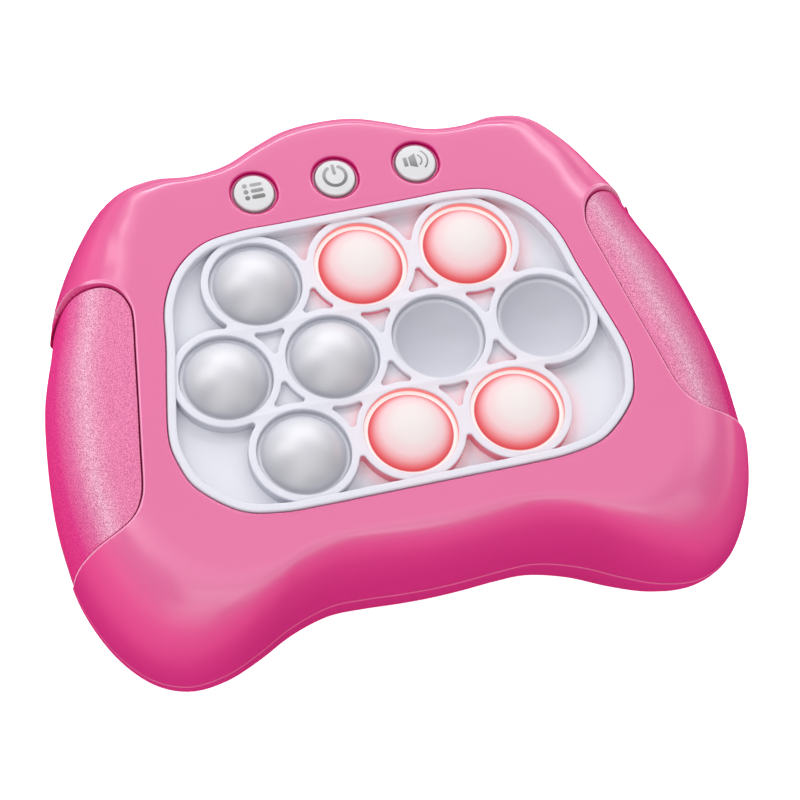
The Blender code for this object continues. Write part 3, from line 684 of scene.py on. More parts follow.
# %% Wells, bay and holes in the base
sound_hole_radius = 1.2 * MM
sound_hole_ring = 6.0 * MM
sound_holes = [Vector((0, 0))] + [
    Vector((sound_hole_ring * math.cos(math.tau * i / 6), sound_hole_ring * math.sin(math.tau * i / 6)))
    for i in range(6)]
through = (-overrun, 2 * overrun)
cut(rear_shell, [grip_block(side) for side in (-1, 1)])
cut(rear_shell, [well(screw_well_radius, place, *through) for place in screw_places])
cut(rear_shell, [well(sound_hole_radius, speaker_place.xy + spot, *through, 20) for spot in sound_holes])
cut(rear_shell, [block((-bay_half_x, -bay_half_y, through[0]), (bay_half_x, bay_half_y, through[1])),
                 block((0, -ear_half_width, through[0]),
                       (cover_high.x + running_gap, ear_half_width, through[1]))])

# %% Boss walls round the screw wells, and the bay's own walls
inner_low = 0.5 * MM
boss_outer = screw_well_radius + 1.4 * MM
boss_profile = [(screw_well_radius, inner_low), (boss_outer, inner_low), (boss_outer, rear_seam_z - MM),
                (screw_well_radius, rear_seam_z - MM), (screw_well_radius, inner_low)]
bosses = [spun(boss_profile, 48, place) for place in screw_places]
bay_outer_x, bay_outer_y = bay_half_x + bay_wall, bay_half_y + bay_wall
bay_block = block((-bay_outer_x, -bay_outer_y, inner_low),
                  (bay_outer_x, bay_outer_y, bay_ceiling_z + bay_wall))
bay = make_piece("battery_bay_walls", joined([bay_block, *bosses]), "root", "pink_shell")
cut(bay, [block((-bay_half_x, -bay_half_y, 0), (bay_half_x, bay_half_y, bay_ceiling_z))])

# %% [markdown]
# ## Side grips
# Each side grip is its own moulding with a spark-eroded texture, let into both shells a little below
# their skin. It could be a thickened copy of some of the shell's faces, but a whole inner skin, of
# which only the part inside the grip's outline is kept, gives it clean ends and an even wall. A bead
# rounds its rim too, so that a soft groove runs between it and the shell.

# %% Grips
grip_round = 0.45 * MM
inner_inset = grip_sink + grip_wall
grip_levels = 26
middle_seam_z = (front_seam_z + rear_seam_z) / 2
grip_rim = rim_rows(running_gap, grip_sink, middle_seam_z, -1)
grip_radii = np.full(len(grip_rim), grip_round)
grip_skin_share = 0.94
stages = [2 * step / grip_levels * grip_skin_share for step in range(grip_levels + 1)]
grip_loops = [window_loop(overrun, panel_z - grip_sink)]
grip_loops += [skin_loop(stage, grip_sink, middle_seam_z) for stage in stages]
grip_loops += [skin_loop(stage, inner_inset, middle_seam_z) for stage in stages[::-2]]
grip_loops += [window_loop(overrun, panel_z - inner_inset), grip_loops[0]]
for side, label in ((-1, "left"), (1, "right")):
    grip = make_piece(f"{label}_side_grip", loft(grip_loops), "root", "pink_grip", [f"{label}_grip"])
    cut(grip, [grip_block(side, running_gap)], "INTERSECT")
    cut(grip, [rabbet(grip_rim, grip_radii, side)])
    add_meshes(grip, [bead(grip_rim, grip_radii, side)])

# %% [markdown]
# ## The white bubble mat
# The mat is one silicone moulding: a rim lip round the window, a floor, and rings that flow together
# where two bubbles are neighbours. The rings could be ten tubes pushed into each other, but then no
# fillet would close the narrow corners between them. Instead the network is drawn flat, as arcs round
# the rings joined by small fillets, filled with its holes, and raised with a rounded edge.

# %% Arcs and fillets round neighbouring rings
ring_radius = 12.4 * MM
ring_outer_radius = 14.45 * MM
corner_fillet = 0.8 * MM
pocket_depth = 2.0 * MM
ring_top_z = 39.5 * MM
mat_floor_z = 36.0 * MM
ledge_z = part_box("bubble_6")[1].z


def arc(centre, radius, start, turn, steps):
    """Points on an arc from a start angle through a turn."""
    return [(centre[0] + radius * math.cos(start + turn * i / steps),
             centre[1] + radius * math.sin(start + turn * i / steps)) for i in range(steps + 1)]


def circle(centre, radius, steps):
    return arc(centre, radius, 0, math.tau, steps)[:-1]


def direction_of(start, end):
    """Angle of the way from one point to another."""
    return math.atan2(end.y - start.y, end.x - start.x)


def chain_outline(centres):
    """Edge of a chain of ring walls, with a fillet at each junction; the open side is on the left."""
    points = []
    fillets = []
    following = centres[1:] + centres[:1]
    for a, b in zip(centres, following):
        along = (b - a).normalized()
        left = Vector((-along.y, along.x))
        rise = math.sqrt((ring_outer_radius + corner_fillet) ** 2 - ((b - a).length / 2) ** 2)
        fillets.append((a + b) / 2 + left * rise)
    for before, b, after, c in zip(fillets[-1:] + fillets, centres, fillets, following):
        start = direction_of(b, before)
        turn = -((start - direction_of(b, after)) % math.tau)
        points += arc(b, ring_outer_radius, start, turn, max(4, int(-turn / math.radians(3))))
        start = direction_of(after, b)
        turn = (direction_of(after, c) - start) % math.tau
        points += arc(after, corner_fillet, start, turn, 8)[1:-1]
    return points


# %% The ring network
centre_of = {n: Vector((p.x, p.y)) for n, p in bubble_places.items()}
edge_chain = [1, 2, 3, 7, 10, 9, 8, 4]
pockets = [(1, 5, 2), (2, 6, 3), (1, 4, 5), (2, 5, 6), (3, 6, 7),
           (5, 8, 9), (6, 9, 10), (4, 8, 5), (5, 9, 6), (6, 10, 7)]
network = [chain_outline([centre_of[n] for n in edge_chain])]
network += [chain_outline([centre_of[n] for n in trio]) for trio in pockets]
bores = [circle(centre, ring_radius, 96) for centre in centre_of.values()]
rings = flat_shape(network + bores, mat_floor_z - MM, ring_top_z, 0.3 * MM)
pocket_floors = [flat_shape([offset_outline(np.array(outline), -0.2 * MM)], mat_floor_z - MM,
                            ring_top_z - pocket_depth) for outline in network[1:]]
print(f"ring network of {len(network)} outlines and {len(bores)} bores")

# %% Rim lip and floor
lip_width = 2.3 * MM
lip_round = 0.5 * MM
lip_foot = 0.6 * MM
mat_flange = 1.8 * MM
flange_top_z = panel_z - shell_wall - running_gap


def lip_loop(inward, height):
    """Loop inside the window's edge by some distance."""
    return window_loop(-running_gap - inward, height)


lip_loops = [window_loop(mat_flange, mat_low.z), window_loop(mat_flange, flange_top_z),
             lip_loop(0, flange_top_z)]
lip_loops += [lip_loop(lip_round * drop, mat_high.z - lip_round * (1 - out)) for out, drop in quarter(4)]
lip_loops += [lip_loop(lip_width - lip_round * (1 - out), mat_high.z - lip_round * drop)
              for out, drop in quarter(4)]
lip_loops += [lip_loop(lip_width + 0.1 * MM, mat_floor_z + lip_foot),
              lip_loop(lip_width + lip_foot, mat_floor_z), lip_loop(lip_width + lip_foot, mat_low.z),
              lip_loops[0]]
floor_outline = [(p.x, p.y) for p in lip_loop(lip_width, 0)]
wide_bores = [circle(centre, ring_radius + running_gap, 48) for centre in centre_of.values()]
floor_sheet = flat_shape([floor_outline] + wide_bores, mat_low.z + 0.1 * MM, mat_floor_z)
mat_mesh = joined([loft(lip_loops), rings, floor_sheet, *pocket_floors])
make_piece("silicone_mat", mat_mesh, "root", "white_silicone", ["bubble_mat"])

# %% [markdown]
# ## Silicone bubbles
# A bubble is a thin silicone dome in its ring that turns inside out when it is pressed.
# Each dome is a spun skin, raised or popped as the bubble stands; only its stem rides on the bubble's
# body. A Solidify modifier gives the skin its wall, so the wall stays even, whichever way the dome points.
# The skin's UV map holds the distance from the middle, which the lit material uses.

# %% Dome profile
dome_radius = 11.2 * MM
dome_height = 7.0 * MM
flange_radius = ring_radius + 0.02 * MM
silicone_wall = 1.0 * MM
foot_fillet = 0.7 * MM
popped_bubbles = (6, 7)
lit_bubbles = (2, 3, 9, 10)
dome_segments = 80
stem_radius = 2.0 * MM


def dome_profile():
    """Radius and height from the flange inwards to the crown, with a small fillet at the foot."""
    sphere = (dome_radius ** 2 + dome_height ** 2) / (2 * dome_height)
    centre_z = dome_height - sphere
    fillet_x = math.sqrt((sphere + foot_fillet) ** 2 - (foot_fillet - centre_z) ** 2)
    meet = math.atan2(foot_fillet - centre_z, fillet_x)
    fillet = [(fillet_x + foot_fillet * math.cos(t), foot_fillet + foot_fillet * math.sin(t))
              for t in np.linspace(-math.pi / 2, -math.pi + meet, 6)]
    cap = [(sphere * math.cos(t), centre_z + sphere * math.sin(t))
           for t in np.linspace(meet, math.pi / 2, 22)]
    return [(flange_radius, 0.0)] + fillet + cap[1:-1] + [(0.0, dome_height)]


# %% Dome skin with its UV map
def dome_skin(place, popped):
    """Spun dome skin with its UV map; u is the share of the radius."""
    profile = [(r, -z if popped else z) for r, z in dome_profile()]
    mesh = spun(profile, dome_segments)
    bmesh.ops.recalc_face_normals(mesh, faces=mesh.faces)
    if sum(face.normal.z for face in mesh.faces) < 0:
        bmesh.ops.reverse_faces(mesh, faces=mesh.faces)
    layer = mesh.loops.layers.uv.new("from_the_middle")
    for face in mesh.faces:
        for corner in face.loops:
            point = corner.vert.co
            corner[layer].uv = (point.xy.length / dome_radius,
                                math.atan2(point.y, point.x) / math.tau + 0.5)
    return moved(mesh, place.x, place.y, ledge_z)


# %% Ten bubbles with their stems
for n, place in bubble_places.items():
    popped = n in popped_bubbles
    dome = linked(f"silicone_bubble_{n}", as_data(f"silicone_bubble_{n}", dome_skin(place, popped)))
    dome.data.shade_smooth()
    crown_z = ledge_z + (-dome_height if popped else dome_height)
    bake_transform(dome)
    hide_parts(f"bubble_{n}")
    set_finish(dome, "lit_bubble" if n in lit_bubbles else "bubble_silicone")
    wall = dome.modifiers.new("wall", "SOLIDIFY")
    wall.thickness = silicone_wall
    wall.offset = -1
    wall.use_even_offset = True
    stem_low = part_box(f"contact_pill_{n}")[1].z + running_gap
    stem = well(stem_radius, place, stem_low, crown_z - silicone_wall - 0.1 * MM, 20)
    make_piece(f"bubble_stem_{n}", stem, f"bubble_{n}", "bubble_silicone")

# %% [markdown]
# ## Buttons and their symbols
# The three buttons are white ABS caps with a soft edge, standing in wells in the pink panel.
# Their symbols, a list, a power mark and a loudspeaker, are pad printed in grey. A print could be
# painted by a texture, but thin raised shapes stay crisp and ride on the cap when it is pressed.

# %% Button caps
cap_round = 0.5 * MM
cap_flange = 2 * MM
button_stem_radius = 1.6 * MM
flange_low_z = flange_top_z - MM
cap_profile = [(0, cap_top_z)]
cap_profile += [(cap_radius - cap_round * (1 - out), cap_top_z - cap_round * drop)
                for out, drop in quarter(5)]
cap_profile += [(cap_radius, flange_top_z), (cap_radius + cap_flange, flange_top_z),
                (cap_radius + cap_flange, flange_low_z), (0, flange_low_z)]
for label, place in button_places.items():
    low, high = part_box(label + "_button")
    parts = [spun(cap_profile, place=place), well(button_stem_radius, place, low.z, flange_low_z, 24)]
    make_piece(f"{label}_button_cap", joined(parts), label + "_button", "button_plastic", [label + "_button"])


# %% A pen stroke
def stroke(points, width):
    """Outline of a line with round ends, drawn with a pen of some width."""
    points = np.array(points, float)
    along = unit(np.gradient(points, axis=0))
    side = left_of(along) * width / 2
    first, last = (math.atan2(a[1], a[0]) for a in (-along[0], along[-1]))
    return ([tuple(p) for p in points + side]
            + arc(points[-1], width / 2, last + math.pi / 2, -math.pi, 8)[1:-1]
            + [tuple(p) for p in (points - side)[::-1]]
            + arc(points[0], width / 2, first + math.pi / 2, -math.pi, 8)[1:-1])


# %% Three symbols
print_thickness = 0.05 * MM
list_rows = [(1.85 * MM, 0.95 * MM), (0.05 * MM, 1.1 * MM), (-1.8 * MM, 1.25 * MM)]
list_symbol = [circle((-2.35 * MM, y), 0.68 * MM, 24) for y, _ in list_rows]
list_symbol += [stroke([(-0.5 * MM, y), (1.9 * MM, y)], thick) for y, thick in list_rows]
power_pen = 0.92 * MM
power_symbol = [stroke(arc((0, 0), 2.95 * MM, math.radians(120), math.radians(300), 48), power_pen),
                stroke([(0, 0.8 * MM), (0, 3.1 * MM)], power_pen)]
speaker_box = [(-3.3, 1.35), (-2.2, 1.35), (-2.2, -1.35), (-3.3, -1.35)]
speaker_cone = [(-1.75, 1.3), (0.2, 2.2), (0.2, -2.2), (-1.75, -1.3)]
volume_symbol = [[(x * MM, y * MM) for x, y in shape] for shape in (speaker_box, speaker_cone)]
wave_pen = 0.42 * MM
for radius, half_turn in ((1.7, 55), (3.25, 50)):
    wave = arc((0, 0), radius * MM, -math.radians(half_turn), math.radians(2 * half_turn), 16)
    volume_symbol.append(stroke(wave, wave_pen))
symbols = {"menu": (list_symbol, (0.3 * MM, 0.55 * MM)), "power": (power_symbol, (0.1 * MM, 0.5 * MM)),
           "volume": (volume_symbol, (0.1 * MM, 0.6 * MM))}
for label, (shapes, shift) in symbols.items():
    marks = [flat_shape([shape], cap_top_z, cap_top_z + print_thickness) for shape in shapes]
    place = button_places[label].xy + Vector(shift)
    make_piece(f"{label}_symbol", moved(joined(marks), place.x, place.y), label + "_button", "button_plastic")

# %% [markdown]
# ## Battery cover
# The cover closes the battery bay in the base, flush with it, with an ear for its screw. It could be
# cut out of the base, but then no gap would run round it: a filled outline with a hole and a small
# rounding leaves a real one.

# %% Battery cover
ear_x = cover_high.x
cover_x = bay_half_x - running_gap
ear_half_y = ear_half_width - running_gap
cover_outline = [(cover_x, ear_half_y), (ear_x, ear_half_y), (ear_x, -ear_half_y), (cover_x, -ear_half_y),
                 (cover_x, cover_low.y), (cover_low.x, cover_low.y), (cover_low.x, cover_high.y),
                 (cover_x, cover_high.y)]
screw_hole = circle(cover_screw_place, screw_well_radius, 48)
make_piece("battery_door", flat_shape([cover_outline, screw_hole], cover_low.z, cover_high.z, 0.2 * MM),
           "root", "pink_shell", ["battery_cover"])

# %% [markdown]
# ## Finishes
# Each finish starts from what the real surface is and how it was made. Colours are written as sRGB
# hex codes and turned to linear by one function, and every pattern has a real size in millimetres.

# %% Colour and node helpers
def linear(code):
    """Linear colour from an sRGB hex code."""
    values = [int(code[i:i + 2], 16) / 255 for i in (1, 3, 5)]
    return tuple(v / 12.92 if v <= 0.04045 else ((v + 0.055) / 1.055) ** 2.4 for v in values) + (1.0,)


def fill(node, inputs):
    """Fill inputs of a node: a socket is linked, a hex code becomes a colour, any other value is set."""
    for key, value in inputs.items():
        if isinstance(value, bpy.types.NodeSocket):
            node.id_data.links.new(value, node.inputs[key])
        else:
            node.inputs[key].default_value = linear(value) if isinstance(value, str) else value


def add(tree, kind, inputs=(), out=0, stops=(), **settings):
    """Add a node with its settings, inputs in order or by name, and colour stops; give one output."""
    node = tree.nodes.new("ShaderNode" + kind)
    for name, value in settings.items():
        setattr(node, name, value)
    fill(node, inputs if isinstance(inputs, dict) else dict(enumerate(inputs)))
    for position, _ in stops[1:-1]:
        node.color_ramp.elements.new(position)
    for element, (position, code) in zip(node.color_ramp.elements if stops else (), stops):
        element.position, element.color = position, linear(code)
    return node.outputs[out]


# %% Start of a finish, and its grain
def start_finish(name, **inputs):
    """Material with its Principled shader set; returns the material, its tree and the shader."""
    material = bpy.data.materials.new(name)
    material.use_nodes = True
    shader = material.node_tree.nodes["Principled BSDF"]
    fill(shader, {key.replace("_", " "): value for key, value in inputs.items()})
    return material, material.node_tree, shader


def normal_parts(tree):
    """How far a face looks right, back and up: the parts of its normal."""
    return add(tree, "SeparateXYZ", (add(tree, "NewGeometry", out="Normal"),)).node.outputs


def per_mm(size):
    """Pattern scale that gives features of about this many millimetres."""
    return 1 / (size * MM)


def grained(tree, shader, size_mm, detail, strength, depth_mm):
    """Noise of one size, which also raises the surface; gives the noise."""
    where = add(tree, "TexCoord", out="Object")
    grain = add(tree, "TexNoise", {"Vector": where, "Scale": per_mm(size_mm), "Detail": detail})
    bump = add(tree, "Bump", {"Height": grain, "Strength": strength, "Distance": depth_mm * MM})
    fill(shader, {"Normal": bump})
    return grain


easing = {"interpolation_type": "SMOOTHSTEP"}
scaling = {"operation": "SCALE"}
colours = {"out": 2, "data_type": "RGBA"}

# %% [markdown]
# ### Pink ABS shell
# ABS from a polished mould has a soft gloss and a trace of orange peel. The flat panel of the real
# shell looks paler than its walls; here that paleness is a painted sheen in the colour of the faces
# that look up, and the walls carry painted shade in a darker pink. Faces that look back get more
# painted shade and shine less, and the crest of the back edge is polished most, so that the soft box
# behind the game draws a bright line along it. A texture could be painted with all this, but the
# direction of the face gives it at every size and stays right when a shape changes.

# %% Pink shell
def make_pink_abs(name, stops):
    """Polished ABS, with painted sheen and painted shade in its colour by how far a face looks up."""
    material, tree, shader = start_finish(name, IOR=1.5)
    where = add(tree, "TexCoord", out="Object")
    right, back, up = normal_parts(tree)
    clouds = add(tree, "TexNoise", {"Vector": where, "Scale": per_mm(30), "Detail": 1.0})
    shade = add(tree, "Math", (clouds, 0.06, -0.03), operation="MULTIPLY_ADD")
    share = add(tree, "Math", (up, shade), operation="ADD", use_clamp=True)
    # Colour by how far a face looks up: paler faces that look up are a painted sheen, darker walls a painted
    # shade.
    colour = add(tree, "ValToRGB", (share,), stops=stops)
    # Painted shade on faces that look back.
    painted_shade = add(tree, "MapRange", (back, 0.2, 0.5, 1.0, 0.84))
    sideways = add(tree, "Math", (right,), operation="ABSOLUTE")
    straight_back = add(tree, "Math", (sideways, -0.9, back), operation="MULTIPLY_ADD")
    crest = add(tree, "MapRange", (up, 0.955, 0.975), **easing)
    facing = add(tree, "MapRange", (straight_back, 0.03, 0.12), **easing)
    edge = add(tree, "Math", (crest, facing), operation="MULTIPLY")
    sheen = add(tree, "MapRange", (up, 0.62, 0.88, 0.0, 0.9))
    away = add(tree, "MapRange", (back, 0.19, 0.3, 1.0, 0.15))
    grained(tree, shader, 1.6, 2.0, 0.05, 0.05)
    fill(shader, {"Base Color": add(tree, "VectorMath", {0: colour, "Scale": painted_shade}, **scaling),
                  "Roughness": add(tree, "MapRange", (edge, 0.0, 1.0, 0.25, 0.08)),
                  "Specular IOR Level": add(tree, "Math", (sheen, away), operation="MULTIPLY")})
    return material


# %% Pink edge and the shell's colours
def make_rim_pink():
    """Edge round a grip opening with painted light: a painted highlight where it is thin; at its thick end a
    painted highlight on top and painted shade inside.
    """
    material, tree, shader = start_finish("pink_edge_with_painted_light", Roughness=0.3, IOR=1.5)
    y = add(tree, "SeparateXYZ", (add(tree, "TexCoord", out="Object"),), "Y")
    thick = add(tree, "MapRange", (y, thick_from_y - MM, thick_to_y - MM), **easing)
    # Painted shade on the inner wall, a painted highlight line above it, then the pink of the skin.
    edge = add(tree, "ValToRGB", (normal_parts(tree)["Z"],), stops=[
        (0.35, "#C2166C"), (0.6, "#CC2376"), (0.74, "#F4A6C8"), (0.86, "#E874A6"), (1.0, "#DA6C9B")])
    fill(shader, {"Base Color": add(tree, "Mix", {0: thick, 6: "#EA90B8", 7: edge}, **colours)})
    return material


# Stops by how far a face looks up: the pale top ones are painted sheen, the darker low ones painted shade.
shell_stops_with_painted_light = [(0.05, "#CC317A"), (0.2, "#D43A80"), (0.38, "#E04A8B"), (0.55, "#E45591"), (0.68, "#E66097"),
               (0.86, "#DE6498"), (1.0, "#DA6C9B")]
# Button-hole walls: painted shade in dark magenta, up to the panel's pink at the top.
collar_stops_with_painted_shade = [(0.0, "#A80A52"), (0.6, "#BC1261"), (0.9, "#CC2C78"), (0.985, "#DA6C9B")]
pink_abs = make_pink_abs("glossy_pink_abs", shell_stops_with_painted_light)
collar_pink_with_painted_shade = make_pink_abs("glossy_pink_abs_with_painted_shade_in_the_button_holes", collar_stops_with_painted_shade)
rim_pink_with_painted_light = make_rim_pink()

# %% [markdown]
# ### Spark-textured grips
# The grips come from a spark-eroded mould, which leaves fine grains of about 0.2 mm. They are drawn
# at 0.3 mm here, since finer ones would not show. A bump alone would leave them flat in soft light,
# so each grain is also a little darker or lighter. Both pinks carry a painted highlight on faces that
# look partly up, and faces that lean to the right get painted shade.

# %% Grip finish
def make_grip():
    """Spark-textured ABS: a dark and a light pink mixed by the grain, both with a painted highlight by how
    far a face looks up, and painted shade on faces that lean right.
    """
    material, tree, shader = start_finish("spark_textured_pink_abs", Roughness=0.45, IOR=1.5)
    right, _, up = normal_parts(tree)
    spread = add(tree, "MapRange", (grained(tree, shader, 0.28, 1.0, 0.35, 0.08), 0.36, 0.64))
    # The pale band in both pinks, on faces that look partly up, is a painted highlight.
    share = add(tree, "Math", (right, -0.19, up), operation="MULTIPLY_ADD")
    dark = add(tree, "ValToRGB", (share,), stops=[
        (0.1, "#D0246F"), (0.53, "#CC2C78"), (0.73, "#C64A85"), (0.89, "#C66693"), (1.0, "#C05084")])
    light = add(tree, "ValToRGB", (share,), stops=[
        (0.1, "#E43886"), (0.53, "#E84C93"), (0.73, "#EE86B2"), (0.89, "#F8C6DA"), (1.0, "#E884AE")])
    colour = add(tree, "Mix", {0: spread, 6: dark, 7: light}, **colours)
    # Painted shade on faces that lean to the right.
    painted_shade = add(tree, "MapRange", (right, 0.05, 0.25, 1.0, 0.89))
    fill(shader, {"Base Color": add(tree, "VectorMath", {0: colour, "Scale": painted_shade}, **scaling),
                  "Specular IOR Level": add(tree, "MapRange", (up, 0.6, 0.9, 0.0, 0.38))})
    return material


grip_abs = make_grip()


# %% [markdown]
# ### White silicone, lit from below
# The mat is satin silicone, white with a cool tinge. Silicone lets light through, so the red lamps
# under four of the bubbles tint the mat around them: a soft halo that fades with the distance from
# each lit bubble. Real lamps inside would need far more samples than this painted glow.

# %% Distance to the nearest bubble
def smallest_distance(tree, where, numbers):
    """Distance from a point to the axis of the nearest of some bubbles."""
    nearest = None
    flat = add(tree, "VectorMath", (where, (1, 1, 0)), operation="MULTIPLY")
    for n in numbers:
        away = add(tree, "VectorMath", (flat, (*centre_of[n], 0)), "Value", operation="DISTANCE")
        nearest = add(tree, "Math", (nearest, away), operation="MINIMUM") if nearest else away
    return nearest


# %% White silicone
def make_white_silicone():
    """Satin silicone: pale tops, painted shade in grey on the walls round every bore, and a painted red glow
    round the lit bubbles.
    """
    material, tree, shader = start_finish("white_silicone", Roughness=0.5, IOR=1.43)
    where = add(tree, "TexCoord", out="Object")
    height = add(tree, "SeparateXYZ", (where,), "Z")
    depth = add(tree, "MapRange", (height, ring_top_z - 0.1 * MM, ring_top_z - 1.0 * MM), **easing)
    upright = add(tree, "Math", (normal_parts(tree)["Z"],), operation="ABSOLUTE")
    steep = add(tree, "MapRange", (upright, 0.6, 0.2), **easing)
    wall = add(tree, "Math", (steep, depth), operation="MULTIPLY")
    from_lit = smallest_distance(tree, where, lit_bubbles)
    from_any = smallest_distance(tree, where, bubble_places)
    # Painted glow: ring tops and pocket floors near a lit bubble are tinted pink.
    near = add(tree, "MapRange", (from_lit, 20.0 * MM, 13.5 * MM), **easing)
    top = add(tree, "Mix", {0: near, 6: "#D6D6E0", 7: "#DBD6DF"}, **colours)
    low = add(tree, "Mix", {0: near, 6: "#D6D7DF", 7: "#EED5DD"}, **colours)
    colour = add(tree, "Mix", {0: depth, 6: top, 7: low}, **colours)
    # Painted shade in grey on walls round any bore, and a painted red glow on walls near a lit bubble; the
    # bore walls of lit bubbles also emit a faint light.
    for distance, far_off, close, code in (
            (from_any, 15.6, 15.0, "#BEBFC8"), (from_lit, 15.6, 15.0, "#E68090"),
            (from_lit, 12.9, 12.5, "#F08E8A")):
        reached = add(tree, "MapRange", (distance, far_off * MM, close * MM), **easing)
        share = add(tree, "Math", (wall, reached), operation="MULTIPLY")
        colour = add(tree, "Mix", {0: share, 6: colour, 7: code}, **colours)
    grained(tree, shader, 0.8, 2.0, 0.05, 0.04)
    fill(shader, {"Base Color": colour, "Emission Color": colour,
                  "Emission Strength": add(tree, "Math", (share, 0.2), operation="MULTIPLY")})
    return material


white_silicone = make_white_silicone()


# %% Unlit bubble silicone
def radius_colours(tree, stops):
    """Colour by the share of the radius held in the UV map; stops reach a little beyond the foot."""
    radius = add(tree, "SeparateXYZ", (add(tree, "UVMap", uv_map="from_the_middle"),))
    furthest = stops[-1][0]
    share = add(tree, "Math", (radius, furthest), operation="DIVIDE")
    return add(tree, "ValToRGB", (share,), stops=[(position / furthest, code) for position, code in stops])


def make_bubble_silicone(name, middle_code, foot_code, ior, gloss, painted_light_amount):
    """Unlit silicone between two greys, a little darker towards the foot; faces that look back get a painted
    highlight and faces that look to the front painted shade. A raised dome has this painted light, a popped
    cup none, and a raised dome shines more.
    """
    material, tree, shader = start_finish(name, Roughness=0.46, IOR=ior, Specular_IOR_Level=gloss)
    colour = radius_colours(tree, [(0.0, middle_code), (0.75, middle_code), (0.97, foot_code),
                                   (1.01, "#CDCED6"), (1.08, "#D0D1DA")])
    # Painted light: faces that look back are made paler and faces that look to the front darker.
    painted_light_by_facing = add(tree, "MapRange", (normal_parts(tree)["Y"], -0.5, 0.5, 1 - painted_light_amount, 1 + painted_light_amount))
    grained(tree, shader, 0.8, 2.0, 0.04, 0.04)
    fill(shader, {"Base Color": add(tree, "VectorMath", {0: colour, "Scale": painted_light_by_facing}, **scaling)})
    return material


dome_silicone = make_bubble_silicone("raised_silicone", "#C3C3CA", "#BDBDC6", 1.9, 0.95, 0.14)
cup_silicone = make_bubble_silicone("popped_silicone", "#C4C4CE", "#C4C4CE", 1.5, 0.4, 0.0)


# %% [markdown]
# ### Lit bubbles
# A lit bubble glows: nearly white over the lamp in the middle, and deep red towards the foot, where
# the light crosses more silicone. A lamp under a translucent skin would be truer and much slower, so
# the UV map's share of the radius drives the glow. The thin ring round the foot shines brightest.

# %% Lit bubble finish
def make_lit_silicone():
    """Silicone that glows from the lamp below; its surface colour is a dimmed copy of the glow."""
    material, tree, shader = start_finish("red_lit_silicone", Roughness=0.5, IOR=1.43,
                                          Specular_IOR_Level=0.25, Emission_Strength=0.62)
    colour = radius_colours(tree, [
        (0.0, "#EAE4E3"), (0.46, "#EEE0E0"), (0.73, "#F4CFD3"), (0.84, "#F2ABB0"), (0.93, "#E8747A"),
        (0.99, "#D84A50"), (1.015, "#FFFFFF"), (1.08, "#FFFBF8")])
    fill(shader, {"Base Color": add(tree, "VectorMath", {0: colour, "Scale": 0.4}, **scaling),
                  "Emission Color": colour})
    return material


lit_silicone = make_lit_silicone()


# %% [markdown]
# ### Caps, print and the pieces inside
# White ABS caps, grey pad print, and the plain finishes of what the shells hold: solder mask with
# its faint tracks, zinc-plated steel, black plastic and rubber, lamp packages and battery jackets.
# Flat colours would do for most of them, but a trace of grain keeps them from looking like paper.

# %% Smaller finishes
def make_plain(name, dark, light, size_mm, roughness, metallic=0.0, bump=0.05):
    """Finish between two near colours, with a grain of one size."""
    material, tree, shader = start_finish(name, Roughness=roughness, Metallic=metallic)
    grain = grained(tree, shader, size_mm, 3.0, bump, 0.05)
    fill(shader, {"Base Color": add(tree, "Mix", {0: grain, 6: dark, 7: light}, **colours)})
    return material


# %% Circuit board and pad print
def make_circuit_board():
    """Green solder mask over tracks, which show as a fine pattern of paler lines."""
    material, tree, shader = start_finish("green_solder_mask", Roughness=0.35)
    where = add(tree, "TexCoord", out="Object")
    tracks = add(tree, "TexBrick", {"Vector": where, "Scale": per_mm(6), "Mortar Size": 0.06,
                                    "Color1": "#000000", "Color2": "#000000", "Mortar": "#FFFFFF"})
    fill(shader, {"Base Color": add(tree, "Mix", {0: tracks, 6: "#0F5A33", 7: "#2C8A55"}, **colours),
                  "Normal": add(tree, "Bump", {"Height": tracks, "Strength": 0.2, "Distance": 0.04 * MM})})
    return material


def make_pad_print():
    """Grey pad print, paler towards the top of each symbol: a painted reflection of the cap's gloss."""
    material, tree, shader = start_finish("grey_pad_print", Roughness=0.5)
    y = add(tree, "SeparateXYZ", (add(tree, "TexCoord", out="Object"),), "Y")
    row_y = button_places["power"].y
    # Painted reflection: paler towards the back of the row of buttons.
    share = add(tree, "MapRange", (y, row_y - 2.5 * MM, row_y + 3.5 * MM), **easing)
    fill(shader, {"Base Color": add(tree, "Mix", {0: share, 6: "#6C6C6C", 7: "#A29FA2"}, **colours)})
    return material


# %% Table of finishes
finishes = {
    "pink_shell": pink_abs, "pink_grip": grip_abs, "white_silicone": white_silicone,
    "bubble_silicone": dome_silicone, "lit_bubble": lit_silicone,
    "button_plastic": make_plain("white_button_abs", "#CFCFD1", "#D5D5D7", 4, 0.3),
    "white_plastic": make_plain("matt_white_abs", "#D9D9D6", "#E3E3E0", 3, 0.55),
    "circuit_board": make_circuit_board(),
    "steel": make_plain("zinc_plated_steel", "#A9ABAD", "#C8CACB", 0.6, 0.32, 1.0, 0.1),
    "black_plastic": make_plain("black_moulding", "#141415", "#1F1F21", 1.5, 0.5),
    "carbon_rubber": make_plain("carbon_rubber", "#0E0E0E", "#1A1A1A", 0.8, 0.8),
    "led_package": make_plain("pale_lamp_package", "#E8DDBF", "#F2EBD6", 1.0, 0.25),
    "battery_jacket": make_plain("dark_battery_jacket", "#23262B", "#30343A", 6, 0.25, 0.3)}
grey_print = make_pad_print()
print(f"{len(finishes) + 1} finishes")

